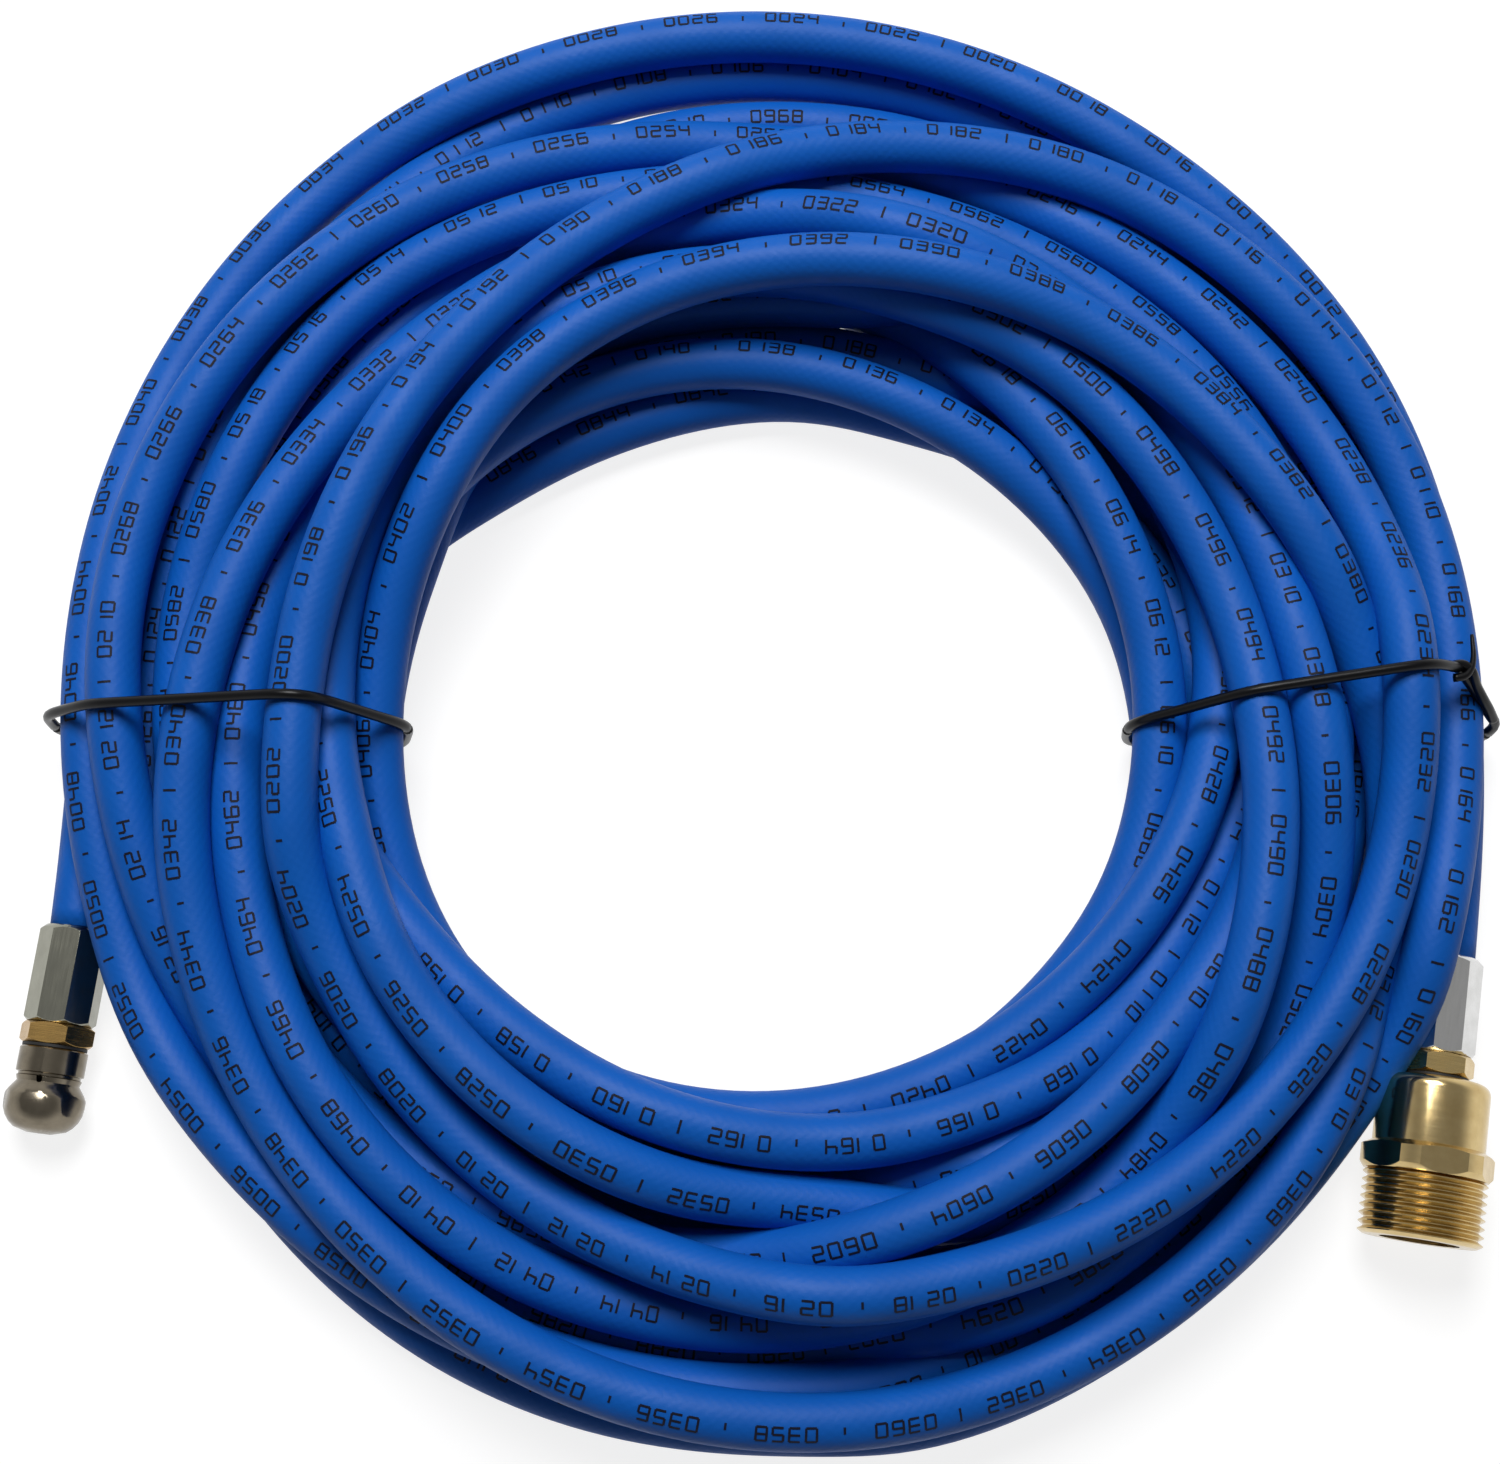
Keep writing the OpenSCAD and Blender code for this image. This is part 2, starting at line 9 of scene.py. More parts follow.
import bmesh
import bpy
import numpy as np
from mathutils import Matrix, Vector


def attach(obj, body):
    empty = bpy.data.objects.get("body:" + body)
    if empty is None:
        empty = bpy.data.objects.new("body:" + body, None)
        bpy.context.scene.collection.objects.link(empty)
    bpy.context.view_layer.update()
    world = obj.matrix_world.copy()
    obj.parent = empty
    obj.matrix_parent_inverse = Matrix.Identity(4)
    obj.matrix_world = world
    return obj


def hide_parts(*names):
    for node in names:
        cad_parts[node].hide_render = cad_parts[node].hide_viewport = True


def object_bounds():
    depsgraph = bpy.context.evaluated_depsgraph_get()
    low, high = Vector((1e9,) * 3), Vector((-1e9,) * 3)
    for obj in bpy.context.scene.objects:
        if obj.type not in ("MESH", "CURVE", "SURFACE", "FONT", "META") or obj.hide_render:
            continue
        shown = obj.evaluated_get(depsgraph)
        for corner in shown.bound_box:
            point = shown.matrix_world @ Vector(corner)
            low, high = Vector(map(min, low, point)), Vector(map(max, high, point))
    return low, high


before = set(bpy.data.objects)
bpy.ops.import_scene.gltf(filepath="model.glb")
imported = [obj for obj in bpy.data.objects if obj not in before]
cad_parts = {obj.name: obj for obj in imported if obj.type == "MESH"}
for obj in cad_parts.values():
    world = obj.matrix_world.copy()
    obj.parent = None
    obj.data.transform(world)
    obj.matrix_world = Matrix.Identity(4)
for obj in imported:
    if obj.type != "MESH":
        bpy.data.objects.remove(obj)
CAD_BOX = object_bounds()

MM = 0.001
LOG = logging.getLogger("hose")

Node = bpy.types.Node
NodeTree = bpy.types.NodeTree
Material = bpy.types.Material
Object = bpy.types.Object
Points = np.ndarray
Places = tuple[tuple[float, float, float], ...]


# ---------------------------------------------------------------- shared helpers


def linear(hex_code: str) -> tuple[float, float, float, float]:
    """Turn an sRGB hex colour to linear light.

    Args:
        hex_code: the colour as "#rrggbb".

    Returns:
        Linear red, green, blue and an alpha of 1.
    """
    parts = [int(hex_code[i:i + 2], 16) / 255 for i in (1, 3, 5)]
    red, green, blue = (c / 12.92 if c <= 0.04045 else ((c + 0.055) / 1.055) ** 2.4 for c in parts)
    return red, green, blue, 1.0


def add(tree: NodeTree, kind: str, settings: dict | None = None, links: dict | None = None) -> Node:
    """Add a node to a tree.

    Args:
        tree: the shader or geometry tree.
        kind: the node's type.
        settings: values of its inputs, by name or number, and of its own properties, by name.
        links: sockets to join to its inputs, by the input's name or number.

    Returns:
        The new node.
    """
    node = tree.nodes.new(kind)
    named = {key: value for key, value in (settings or {}).items() if isinstance(key, str)}
    for key, value in named.items():
        if hasattr(node, key):
            setattr(node, key, value)
    for key, value in (settings or {}).items():
        if isinstance(key, int) or not hasattr(node, key):
            node.inputs[key].default_value = value
    for key, socket in (links or {}).items():
        tree.links.new(socket, node.inputs[key])
    return node


def surface(name: str, settings: dict[str, Any]) -> tuple[Material, NodeTree, Node]:
    """Make a material with one Principled shader.

    Args:
        name: the material's name.
        settings: values of the shader's inputs, by name.

    Returns:
        The material, its tree and the shader node.
    """
    material = bpy.data.materials.new(name)
    material.use_nodes = True
    tree = material.node_tree
    shader = tree.nodes["Principled BSDF"]
    for key, value in settings.items():
        shader.inputs[key].default_value = value
    return material, tree, shader


def placed(name: str, data: Any) -> Object:
    """Put a new object into the scene.

    Args:
        name: the object's name.
        data: its mesh, curve, camera or light.

    Returns:
        The object.
    """
    item = bpy.data.objects.new(name, data)
    bpy.context.scene.collection.objects.link(item)
    return item


def curve_object(name: str, points: Points, closed: bool = False, widths: Points | None = None) -> Object:
    """Make a poly curve through points.

    Args:
        name: the object's name.
        points: its points, in metres.
        closed: whether it runs back to its start.
        widths: how wide a tube along it is at each point, where 1 is the full width.

    Returns:
        The curve object.
    """
    curve = bpy.data.curves.new(name, "CURVE")
    curve.dimensions = "3D"
    spline = curve.splines.new("POLY")
    spline.points.add(len(points) - 1)
    spline.points.foreach_set("co", np.column_stack([points, np.ones(len(points))]).ravel())
    if widths is not None:
        spline.points.foreach_set("radius", widths)
    spline.use_cyclic_u = closed
    return placed(name, curve)


def grown(source: Object, tree: NodeTree, values: dict[str, Any], name: str) -> Object:
    """Run a Geometry Nodes tree on an object and keep the result as a plain mesh.

    Args:
        source: the object that the tree starts from, removed afterwards.
        tree: the geometry tree.
        values: the tree's inputs, by name.
        name: the new piece's name.

    Returns:
        The new mesh object, with no modifier.
    """
    modifier = source.modifiers.new("grow", "NODES")
    modifier.node_group = tree
    sockets = {item.name: item.identifier for item in tree.interface.items_tree}
    for key, value in values.items():
        modifier[sockets[key]] = value
    graph = bpy.context.evaluated_depsgraph_get()
    mesh = bpy.data.meshes.new_from_object(source.evaluated_get(graph))
    mesh.name = name
    source.modifiers.remove(modifier)
    bpy.data.objects.remove(source)
    return placed(name, mesh)


def new_tree(name: str, inputs: dict[str, str]) -> tuple[NodeTree, Node, Node]:
    """Start a geometry tree.

    Args:
        name: the tree's name.
        inputs: the socket type of each named input, after the geometry.

    Returns:
        The tree, its input node and its output node.
    """
    tree = bpy.data.node_groups.new(name, "GeometryNodeTree")
    tree.interface.new_socket(name="Geometry", in_out="INPUT", socket_type="NodeSocketGeometry")
    for key, kind in inputs.items():
        tree.interface.new_socket(name=key, in_out="INPUT", socket_type=kind)
    tree.interface.new_socket(name="Geometry", in_out="OUTPUT", socket_type="NodeSocketGeometry")
    return tree, add(tree, "NodeGroupInput"), add(tree, "NodeGroupOutput")


def sweep_tree() -> NodeTree:
    """Build the tree that draws a round tube along a curve, with its own UV map.

    Returns:
        A tree with the inputs Radius, Sides and Material. U runs once round the tube, V is the
        length along it in metres.
    """
    tree, given, result = new_tree("tube_along_curve", {
        "Radius": "NodeSocketFloat", "Sides": "NodeSocketInt", "Material": "NodeSocketMaterial"})
    level = add(tree, "GeometryNodeSetCurveNormal", {"mode": "Z_UP"}, {"Curve": given.outputs["Geometry"]})
    place = add(tree, "GeometryNodeSplineParameter")
    along = add(tree, "GeometryNodeStoreNamedAttribute", {"data_type": "FLOAT", "Name": "along"},
                {"Geometry": level.outputs["Curve"], "Value": place.outputs["Length"]})
    rim_points = add(tree, "ShaderNodeMath", {"operation": "ADD", 1: 1.0}, {0: given.outputs["Sides"]})
    rim = add(tree, "GeometryNodeCurveArc", {"Start Angle": 0.0, "Sweep Angle": math.tau},
              {"Resolution": rim_points.outputs[0], "Radius": given.outputs["Radius"]})
    around = add(tree, "GeometryNodeStoreNamedAttribute", {"data_type": "FLOAT", "Name": "around"},
                 {"Geometry": rim.outputs["Curve"], "Value": place.outputs["Factor"]})
    width = add(tree, "GeometryNodeInputRadius")
    tube = add(tree, "GeometryNodeCurveToMesh", {},
               {"Curve": along.outputs["Geometry"], "Profile Curve": around.outputs["Geometry"],
                "Scale": width.outputs["Radius"]})
    u = add(tree, "GeometryNodeInputNamedAttribute", {"data_type": "FLOAT", "Name": "around"})
    v = add(tree, "GeometryNodeInputNamedAttribute", {"data_type": "FLOAT", "Name": "along"})
    uv = add(tree, "ShaderNodeCombineXYZ", {}, {"X": u.outputs["Attribute"], "Y": v.outputs["Attribute"]})
    mapped = add(tree, "GeometryNodeStoreNamedAttribute",
                 {"data_type": "FLOAT2", "domain": "CORNER", "Name": "UVMap"},
                 {"Geometry": tube.outputs["Mesh"], "Value": uv.outputs["Vector"]})
    joined = add(tree, "GeometryNodeMergeByDistance", {"Distance": 0.01 * MM},
                 {"Geometry": mapped.outputs["Geometry"]})
    smooth = add(tree, "GeometryNodeSetShadeSmooth", {}, {"Geometry": joined.outputs["Geometry"]})
    whole = add(tree, "GeometryNodeRealizeInstances", {}, {"Geometry": smooth.outputs["Geometry"]})
    dressed = add(tree, "GeometryNodeSetMaterial", {},
                  {"Geometry": whole.outputs["Geometry"], "Material": given.outputs["Material"]})
    tree.links.new(dressed.outputs["Geometry"], result.inputs["Geometry"])
    return tree


def close_ends(piece: Object) -> None:
    """Fill the open rims of a tube and turn all its faces outwards.

    Args:
        piece: the tube.
    """
    shell = bmesh.new()
    shell.from_mesh(piece.data)
    bmesh.ops.holes_fill(shell, edges=[e for e in shell.edges if e.is_boundary], sides=0)
    bmesh.ops.recalc_face_normals(shell, faces=shell.faces)
    shell.to_mesh(piece.data)
    shell.free()


def unit(rows: Points) -> Points:
    """Scale each row to a length of 1."""
    return rows / np.maximum(np.linalg.norm(rows, axis=1), 1e-9)[:, None]


def steps(points: Points) -> Points:
    """Give the distance from each point to the next."""
    return np.linalg.norm(np.diff(points, axis=0), axis=1)


def even(points: Points, step: float) -> Points:
    """Space points evenly along the line through them.

    Args:
        points: the line's points.
        step: the distance to aim for between two points.

    Returns:
        The new points, with the same first and last one.
    """
    run = np.concatenate([[0], np.cumsum(steps(points))])
    at = np.linspace(0, run[-1], int(round(run[-1] / step)) + 1)
    return np.stack([np.interp(at, run, points[:, k]) for k in range(points.shape[1])], 1)


def eased(rows: Points, times: int) -> Points:
    """Smooth rows along their order, with the two end ones held.

    Args:
        rows: the values, one row for each point.
        times: how often each row is mixed with its neighbours.

    Returns:
        The smoothed rows.
    """
    rows = rows.copy()
    for _ in range(times):
        rows[1:-1] = (rows[:-2] + 2 * rows[1:-1] + rows[2:]) / 4
    return rows


def smooth_curve(knots: Points, at: Points) -> Points:
    """Read a natural cubic spline.

    Args:
        knots: its values at 0, 1, 2 and so on.
        at: where to read it.

    Returns:
        Its value at each place.
    """
    count = len(knots)
    matrix = np.diag(np.full(count, 4.0)) + np.diag(np.ones(count - 1), 1) + np.diag(np.ones(count - 1), -1)
    matrix[0, 0] = matrix[-1, -1] = 2
    right = np.empty(count)
    right[0] = 3 * (knots[1] - knots[0])
    right[-1] = 3 * (knots[-1] - knots[-2])
    right[1:-1] = 3 * (knots[2:] - knots[:-2])
    slope = np.linalg.solve(matrix, right)
    i = np.clip(np.floor(at).astype(int), 0, count - 2)
    f = at - i
    return (knots[i] * (1 + 2 * f) * (1 - f) ** 2 + slope[i] * f * (1 - f) ** 2
            + knots[i + 1] * f * f * (3 - 2 * f) - slope[i + 1] * f * f * (1 - f))


# ---------------------------------------------------------------- finishes


@dataclass(frozen=True)
class ExtrudedJacket:
    """Thermoplastic hose cover, extruded over a braid and left satin.

    It gives the eye a deep even blue, a broad soft highlight, and only a hint of the braid below.
    """

    colour: str = "#0864c8"
    shaded: str = "#0657b2"
    roughness: float = 0.52
    braid_pitch_mm: float = 2.2
    braid_strands: int = 16
    mottle_mm: float = 14.0
    grain_mm: float = 0.6
    polished: float = 0.04
    scuffed: float = 0.05
    braid_share: float = 0.18
    relief: float = 0.22
    relief_mm: float = 0.15
    gloss: float = 0.24

    def make(self) -> Material:
        """Build the material.

        Returns:
            The material.
        """
        material, tree, shader = surface("extruded_thermoplastic_jacket",
                                         {"IOR": 1.5, "Specular IOR Level": self.gloss})
        place = add(tree, "ShaderNodeTexCoord")
        mottle = add(tree, "ShaderNodeTexNoise", {"Scale": 1 / (self.mottle_mm * MM), "Detail": 3.0},
                     {"Vector": place.outputs["Object"]})
        tone = add(tree, "ShaderNodeMix",
                   {"data_type": "RGBA", 6: linear(self.colour), 7: linear(self.shaded)},
                   {0: mottle.outputs["Fac"]})
        tree.links.new(tone.outputs[2], shader.inputs["Base Color"])
        worn = add(tree, "ShaderNodeMapRange",
                   {"From Min": 0.3, "From Max": 0.7,
                    "To Min": self.roughness - self.polished, "To Max": self.roughness + self.scuffed},
                   {"Value": mottle.outputs["Fac"]})
        tree.links.new(worn.outputs["Result"], shader.inputs["Roughness"])
        grain = add(tree, "ShaderNodeTexNoise", {"Scale": 1 / (self.grain_mm * MM), "Detail": 2.0},
                    {"Vector": place.outputs["Object"]})
        height = self._braid(tree, place.outputs["UV"], grain.outputs["Fac"])
        bump = add(tree, "ShaderNodeBump", {"Strength": self.relief, "Distance": self.relief_mm * MM},
                   {"Height": height})
        tree.links.new(bump.outputs["Normal"], shader.inputs["Normal"])
        return material

    def _braid(self, tree: NodeTree, uv: Any, grain: Any) -> Any:
        """Mix the two crossing lays of the braid with the grain.

        Args:
            tree: the material's tree.
            uv: the hose's UV socket, once round in U and metres in V.
            grain: the grain's height.

        Returns:
            The height socket.
        """
        split = add(tree, "ShaderNodeSeparateXYZ", {}, {"Vector": uv})
        turns = add(tree, "ShaderNodeMath",
                    {"operation": "MULTIPLY", 1: math.tau / (self.braid_pitch_mm * MM)},
                    {0: split.outputs["Y"]})
        height = grain
        for way in (-1, 1):
            phase = add(tree, "ShaderNodeMath",
                        {"operation": "MULTIPLY_ADD", 1: way * math.tau * self.braid_strands},
                        {0: split.outputs["X"], 2: turns.outputs[0]})
            wave = add(tree, "ShaderNodeMath", {"operation": "SINE"}, {0: phase.outputs[0]})
            mixed = add(tree, "ShaderNodeMath", {"operation": "MULTIPLY_ADD", 1: self.braid_share},
                        {0: wave.outputs[0], 2: height})
            height = mixed.outputs[0]
        return height


@dataclass(frozen=True)
class FittingAxis:
    """Where a fitting lies: the mouth that the hose comes out of, and its turn seen from above."""

    mouth_mm: tuple[float, float, float]
    turn_deg: float

    def coordinates(self, tree: NodeTree) -> Any:
        """Give object coordinates with Y along the fitting and the origin on its middle line.

        Args:
            tree: the material's tree.

        Returns:
            The vector socket.
        """
        place = add(tree, "ShaderNodeTexCoord")
        turned = add(tree, "ShaderNodeMapping",
                     {"vector_type": "TEXTURE", "Location": [v * MM for v in self.mouth_mm],
                      "Rotation": (0.0, 0.0, math.radians(self.turn_deg))},
                     {"Vector": place.outputs["Object"]})
        return turned.outputs["Vector"]


INLET = FittingAxis((127.2, -53.4, 11.0), -9.5)
NOZZLE = FittingAxis((-127.8, -47.4, 6.95), -7.0)


@dataclass(frozen=True)
class Metal:
    """A plated or bare metal with the fine lines that its making leaves.

    Turned metal has rings round its axis, swaged metal has faint streaks along it. Both give the
    eye a highlight that breaks up across the surface, and small dull patches from handling.
    """

    name: str
    axis: FittingAxis
    light: str
    dark: str
    roughness: float
    rings: bool = True
    line_mm: float = 0.18
    line_length: float = 40.0
    line_depth_mm: float = 0.01
    stain_mm: float = 3.0
    brightest: float = 0.75
    dullest: float = 1.3

    def make(self) -> Material:
        """Build the material.

        Returns:
            The material.
        """
        material, tree, shader = surface(self.name, {"Metallic": 1.0})
        place = self.axis.coordinates(tree)
        fine = 1 / (self.line_mm * MM)
        coarse = fine / self.line_length
        stretch = (coarse, fine, coarse) if self.rings else (fine, coarse, fine)
        squeezed = add(tree, "ShaderNodeMapping", {"Scale": stretch}, {"Vector": place})
        lines = add(tree, "ShaderNodeTexNoise", {"Scale": 1.0, "Detail": 2.0},
                    {"Vector": squeezed.outputs["Vector"]})
        stain = add(tree, "ShaderNodeTexNoise", {"Scale": 1 / (self.stain_mm * MM), "Detail": 4.0},
                    {"Vector": place})
        tone = add(tree, "ShaderNodeMix", {"data_type": "RGBA", 6: linear(self.light), 7: linear(self.dark)},
                   {0: stain.outputs["Fac"]})
        tree.links.new(tone.outputs[2], shader.inputs["Base Color"])
        worn = add(tree, "ShaderNodeMath", {"operation": "ADD"},
                   {0: stain.outputs["Fac"], 1: lines.outputs["Fac"]})
        gloss = add(tree, "ShaderNodeMapRange",
                    {"From Min": 0.6, "From Max": 1.4,
                     "To Min": self.roughness * self.brightest, "To Max": self.roughness * self.dullest},
                    {"Value": worn.outputs[0]})
        tree.links.new(gloss.outputs["Result"], shader.inputs["Roughness"])
        bump = add(tree, "ShaderNodeBump", {"Strength": 0.5, "Distance": self.line_depth_mm * MM},
                   {"Height": lines.outputs["Fac"]})
        tree.links.new(bump.outputs["Normal"], shader.inputs["Normal"])
        return material


@dataclass(frozen=True)
class Moulded:
    """Plain rubber or plastic with a fine moulded or drawn grain, dull or slightly glossy."""

    name: str
    light: str
    dark: str
    roughness: float
    grain_mm: float = 0.4
    grain_depth_mm: float = 0.02
    relief: float = 0.3
    gloss: float = 0.5

    def make(self) -> Material:
        """Build the material.

        Returns:
            The material.
        """
        material, tree, shader = surface(
            self.name, {"Roughness": self.roughness, "IOR": 1.5, "Specular IOR Level": self.gloss})
        place = add(tree, "ShaderNodeTexCoord")
        grain = add(tree, "ShaderNodeTexNoise", {"Scale": 1 / (self.grain_mm * MM), "Detail": 3.0},
                    {"Vector": place.outputs["Object"]})
        tone = add(tree, "ShaderNodeMix", {"data_type": "RGBA", 6: linear(self.light), 7: linear(self.dark)},
                   {0: grain.outputs["Fac"]})
        tree.links.new(tone.outputs[2], shader.inputs["Base Color"])
        bump = add(tree, "ShaderNodeBump", {"Strength": self.relief, "Distance": self.grain_depth_mm * MM},
                   {"Height": grain.outputs["Fac"]})
        tree.links.new(bump.outputs["Normal"], shader.inputs["Normal"])
        return material


@dataclass(frozen=True)
class Woven:
    """Woven polyester braid of the hose wall: off-white crossing yarns with soft relief."""

    name: str = "woven_polyester_braid"
    light: str = "#d8d8d2"
    dark: str = "#8f8f88"
    yarn_mm: float = 0.5
    yarn_depth_mm: float = 0.05

    def make(self) -> Material:
        """Build the material.

        Returns:
            The material.
        """
        material, tree, shader = surface(self.name, {"Roughness": 0.8})
        place = add(tree, "ShaderNodeTexCoord")
        yarns = add(tree, "ShaderNodeTexChecker",
                    {"Scale": 1 / (self.yarn_mm * MM),
                     "Color1": linear(self.light), "Color2": linear(self.dark)},
                    {"Vector": place.outputs["Object"]})
        bump = add(tree, "ShaderNodeBump", {"Strength": 0.5, "Distance": self.yarn_depth_mm * MM},
                   {"Height": yarns.outputs["Fac"]})
        tree.links.new(yarns.outputs["Color"], shader.inputs["Base Color"])
        tree.links.new(bump.outputs["Normal"], shader.inputs["Normal"])
        return material


# Sealing ring: dull black rubber whose edges hardly catch the light.
SEAL_RUBBER = Moulded("nitrile_rubber", "#161616", "#0c0c0c", 0.6)
# Inner liner of the hose: milky extruded plastic with a slight shine.
LINER = Moulded("extruded_liner", "#d9d8cf", "#c8c7bd", 0.4)
# Skin of the tie wire: near black PVC with one narrow soft glint along it.
TIE_COATING = Moulded("pvc_coated_wire", "#050507", "#09090c", 0.3, 0.8, gloss=0.2)
# Ink of the length marks: matt blue-black that the jacket's highlight hardly lifts.
MARK_INK = Moulded("printing_ink", "#04071a", "#070b22", 0.6, gloss=0.2)


# ---------------------------------------------------------------- the hose


@dataclass(frozen=True)
class Lap:
    """One turn of the wound hose, from 0 degrees anticlockwise, read every 45 degrees.

    Radii are in millimetres from the coil's middle, and layers count up from the floor. At its
    buried stops, numbered from 0, a lap may slide further than one that is seen.
    """

    radii: tuple[float, ...]
    layers: str
    buried: str = ""


LAPS = (
    Lap((132, 133.5, 138.5, 137, 132, 131.5, 131, 125), "00000110"),
    Lap((122, 125.5, 129.5, 126, 119.5, 132, 137, 131.5), "00000001", "4"),
    Lap((129, 120, 97.5, 84.5, 86, 99, 113, 118), "12333333"),
    Lap((115, 107.5, 108, 118, 121, 123, 126, 119), "32123111"),
    Lap((102, 95, 95, 95.5, 106, 122, 135, 129), "11112333"),
    Lap((110, 88, 76.5, 72, 73.5, 84, 84, 82), "23332112"),
    Lap((83.5, 87.5, 89.5, 93.5, 98, 113.5, 119.5, 108), "20112222"),
    Lap((89, 81, 82.5, 86, 83, 91, 99.5, 106), "22112210", "7"),
    Lap((105, 105, 103, 111, 112.5, 113, 107.5, 100), "10011111", "01"),
    Lap((96, 87.5, 80, 83, 93, 95, 88, 80.5), "10111001", "0123456"),
    Lap((73.5, 73, 81, 85, 98, 99.5, 101, 86), "11000000", "234567"),
    Lap((74.5, 62.5, 63, 72, 83, 83.5, 88, 93.5), "01111221", "47"),
    Lap((91, 77, 71, 78, 81, 90, 93, 94), "00000000", "01234567"),
    Lap((82, 68, 60.5, 65.5, 87, 92, 97.5, 102.5), "00000111", "0147"),
    Lap((100, 103, 97, 105, 108.5, 116, 116.5, 114), "00000000", "01234567"),
    Lap((111, 114, 116, 115, 127), "00000", "0123"),
)


@dataclass
class Pile:
    """The wound hose as a chain of points that settles until no turn lies in another.

    A turn that rises keeps to the line between its place and the eye, so that it still looks
    laid where it was. What is seen gives way less than what is buried.
    """

    target: Points
    buried: Points
    start_lift: Points
    eye: tuple[float, float, float]
    diameter: float
    rounds: int = 360
    late_share: float = 0.75
    reach: float = 1.35
    seen_hold: float = 0.15
    buried_hold: float = 0.01
    seen_slide: float = 3.0
    buried_slide: float = 5.0
    seen_weight: float = 0.12
    seen_fade: int = 20
    fall: float = 0.3
    late_fall: float = 0.1
    soft_landing: float = 6.0
    upward: float = 3.0
    least_gain: float = 0.3
    head_start: float = 2.0
    stiffness: float = 0.6
    spread: int = 6
    late_spread: int = 3
    own_points: int = 8
    held_points: int = 3
    held_ease: float = 0.001
    search_every: int = 6
    partings: int = 3
    search_rows: int = 400

    def _near(self, points: Points) -> tuple[Points, Points]:
        """Find pairs of points of different turns that lie close to each other.

        Args:
            points: the chain.

        Returns:
            The earlier and the later point of each pair, by number.
        """
        reach = (self.reach * self.diameter) ** 2
        square = (points ** 2).sum(1)
        first, second = [], []
        for start in range(0, len(points), self.search_rows):
            block = slice(start, start + self.search_rows)
            apart = square[block, None] + square[None, :] - 2 * points[block] @ points.T
            i, j = np.nonzero(apart < reach)
            i = i + start
            keep = j - i > self.own_points
            first.append(i[keep])
            second.append(j[keep])
        return np.concatenate(first), np.concatenate(second)

    def _sight(self, height: Points) -> Points:
        """Give where each point looks laid in its place, at a height.

        Args:
            height: the height of each point.

        Returns:
            Its two coordinates on the floor plan.
        """
        eye = np.array(self.eye)
        share = (eye[2] - height) / (eye[2] - self.target[:, 2])
        return eye[:2] + (self.target[:, :2] - eye[:2]) * share[:, None]

    def _parted(self, points: Points, pairs: tuple[Points, Points], way: Points, ease: Points) -> Points:
        """Push apart the turns that lie in each other, upwards more than sideways.

        Args:
            points: the chain.
            pairs: the close pairs, earlier points first.
            way: the hose's direction at each point.
            ease: how easily each point moves, along each axis.

        Returns:
            The moved chain.
        """
        i, j = pairs
        half_step = steps(self.target).mean() / 2
        apart = points[j] - points[i]
        for _ in range(2):
            for end in (i, j):
                slip = np.clip((apart * way[end]).sum(1), -half_step, half_step)
                apart = apart - slip[:, None] * way[end]
        apart[:, 2] -= np.maximum(0, self.head_start - np.abs(apart).sum(1))
        distance = np.linalg.norm(apart, axis=1)
        close = distance < self.diameter
        i, j = i[close], j[close]
        out = unit(apart[close])
        push = unit(out * (1, 1, self.upward))
        gain = np.maximum((push * out).sum(1), self.least_gain)
        push = push * ((self.diameter - distance[close]) / gain)[:, None]
        both = ease[i] + ease[j]
        moved = np.zeros_like(points)
        count = np.zeros(len(points))
        for end, share in ((j, push * ease[j] / both), (i, -push * ease[i] / both)):
            np.add.at(moved, end, share)
            np.add.at(count, end, 1)
        return points + moved / np.maximum(count, 1)[:, None]

    def settled(self, ties: "list[WireTie]") -> Points:
        """Let the pile settle under its weight.

        Args:
            ties: the ties, whose lower runs lift the hose a little.

        Returns:
            The points of the hose's middle line, in millimetres.
        """
        points = self.target + np.column_stack([np.zeros((len(self.target), 2)), self.start_lift])
        rest = self.diameter / 2
        low, high = (np.array(CAD_BOX[k][:2]) / MM + (rest, -rest)[k] for k in (0, 1))
        loose = eased(self.buried, self.seen_fade)
        hold = (self.seen_hold + (self.buried_hold - self.seen_hold) * loose)[:, None]
        slide = self.seen_slide + (self.buried_slide - self.seen_slide) * loose
        sideways = self.seen_weight + (1 - self.seen_weight) * loose
        ease = np.column_stack([sideways, sideways, np.ones(len(points))])
        pinned = np.r_[0:self.held_points, len(points) - self.held_points:len(points)]
        ease[pinned] = self.held_ease
        pairs = self._near(points)
        for turn in range(self.rounds):
            if turn % self.search_every == 0:
                pairs = self._near(points)
            late = turn > self.late_share * self.rounds
            way = unit(np.gradient(points, axis=0))
            fall = self.late_fall if late else self.fall
            points[:, 2] -= fall * np.minimum(1, (points[:, 2] - rest) / self.soft_landing)
            sight = self._sight(points[:, 2])
            points[:, :2] += hold * (sight - points[:, :2])
            shift = points.copy()
            shift[:, :2] -= sight
            points += self.stiffness * (eased(shift, self.late_spread if late else self.spread) - shift)
            floor = rest + sum(tie.lift_under(points) for tie in ties)
            for _ in range(self.partings):
                points = self._parted(points, pairs, way, ease)
                sight = self._sight(points[:, 2])
                drift = points[:, :2] - sight
                far = np.linalg.norm(drift, axis=1)
                points[:, :2] = sight + drift * np.minimum(1, slide / np.maximum(far, 1e-6))[:, None]
                points[:, 2] = np.maximum(points[:, 2], floor)
                points[:, :2] = np.clip(points[:, :2], low, high)
                points[pinned] = self.target[pinned]
        return points


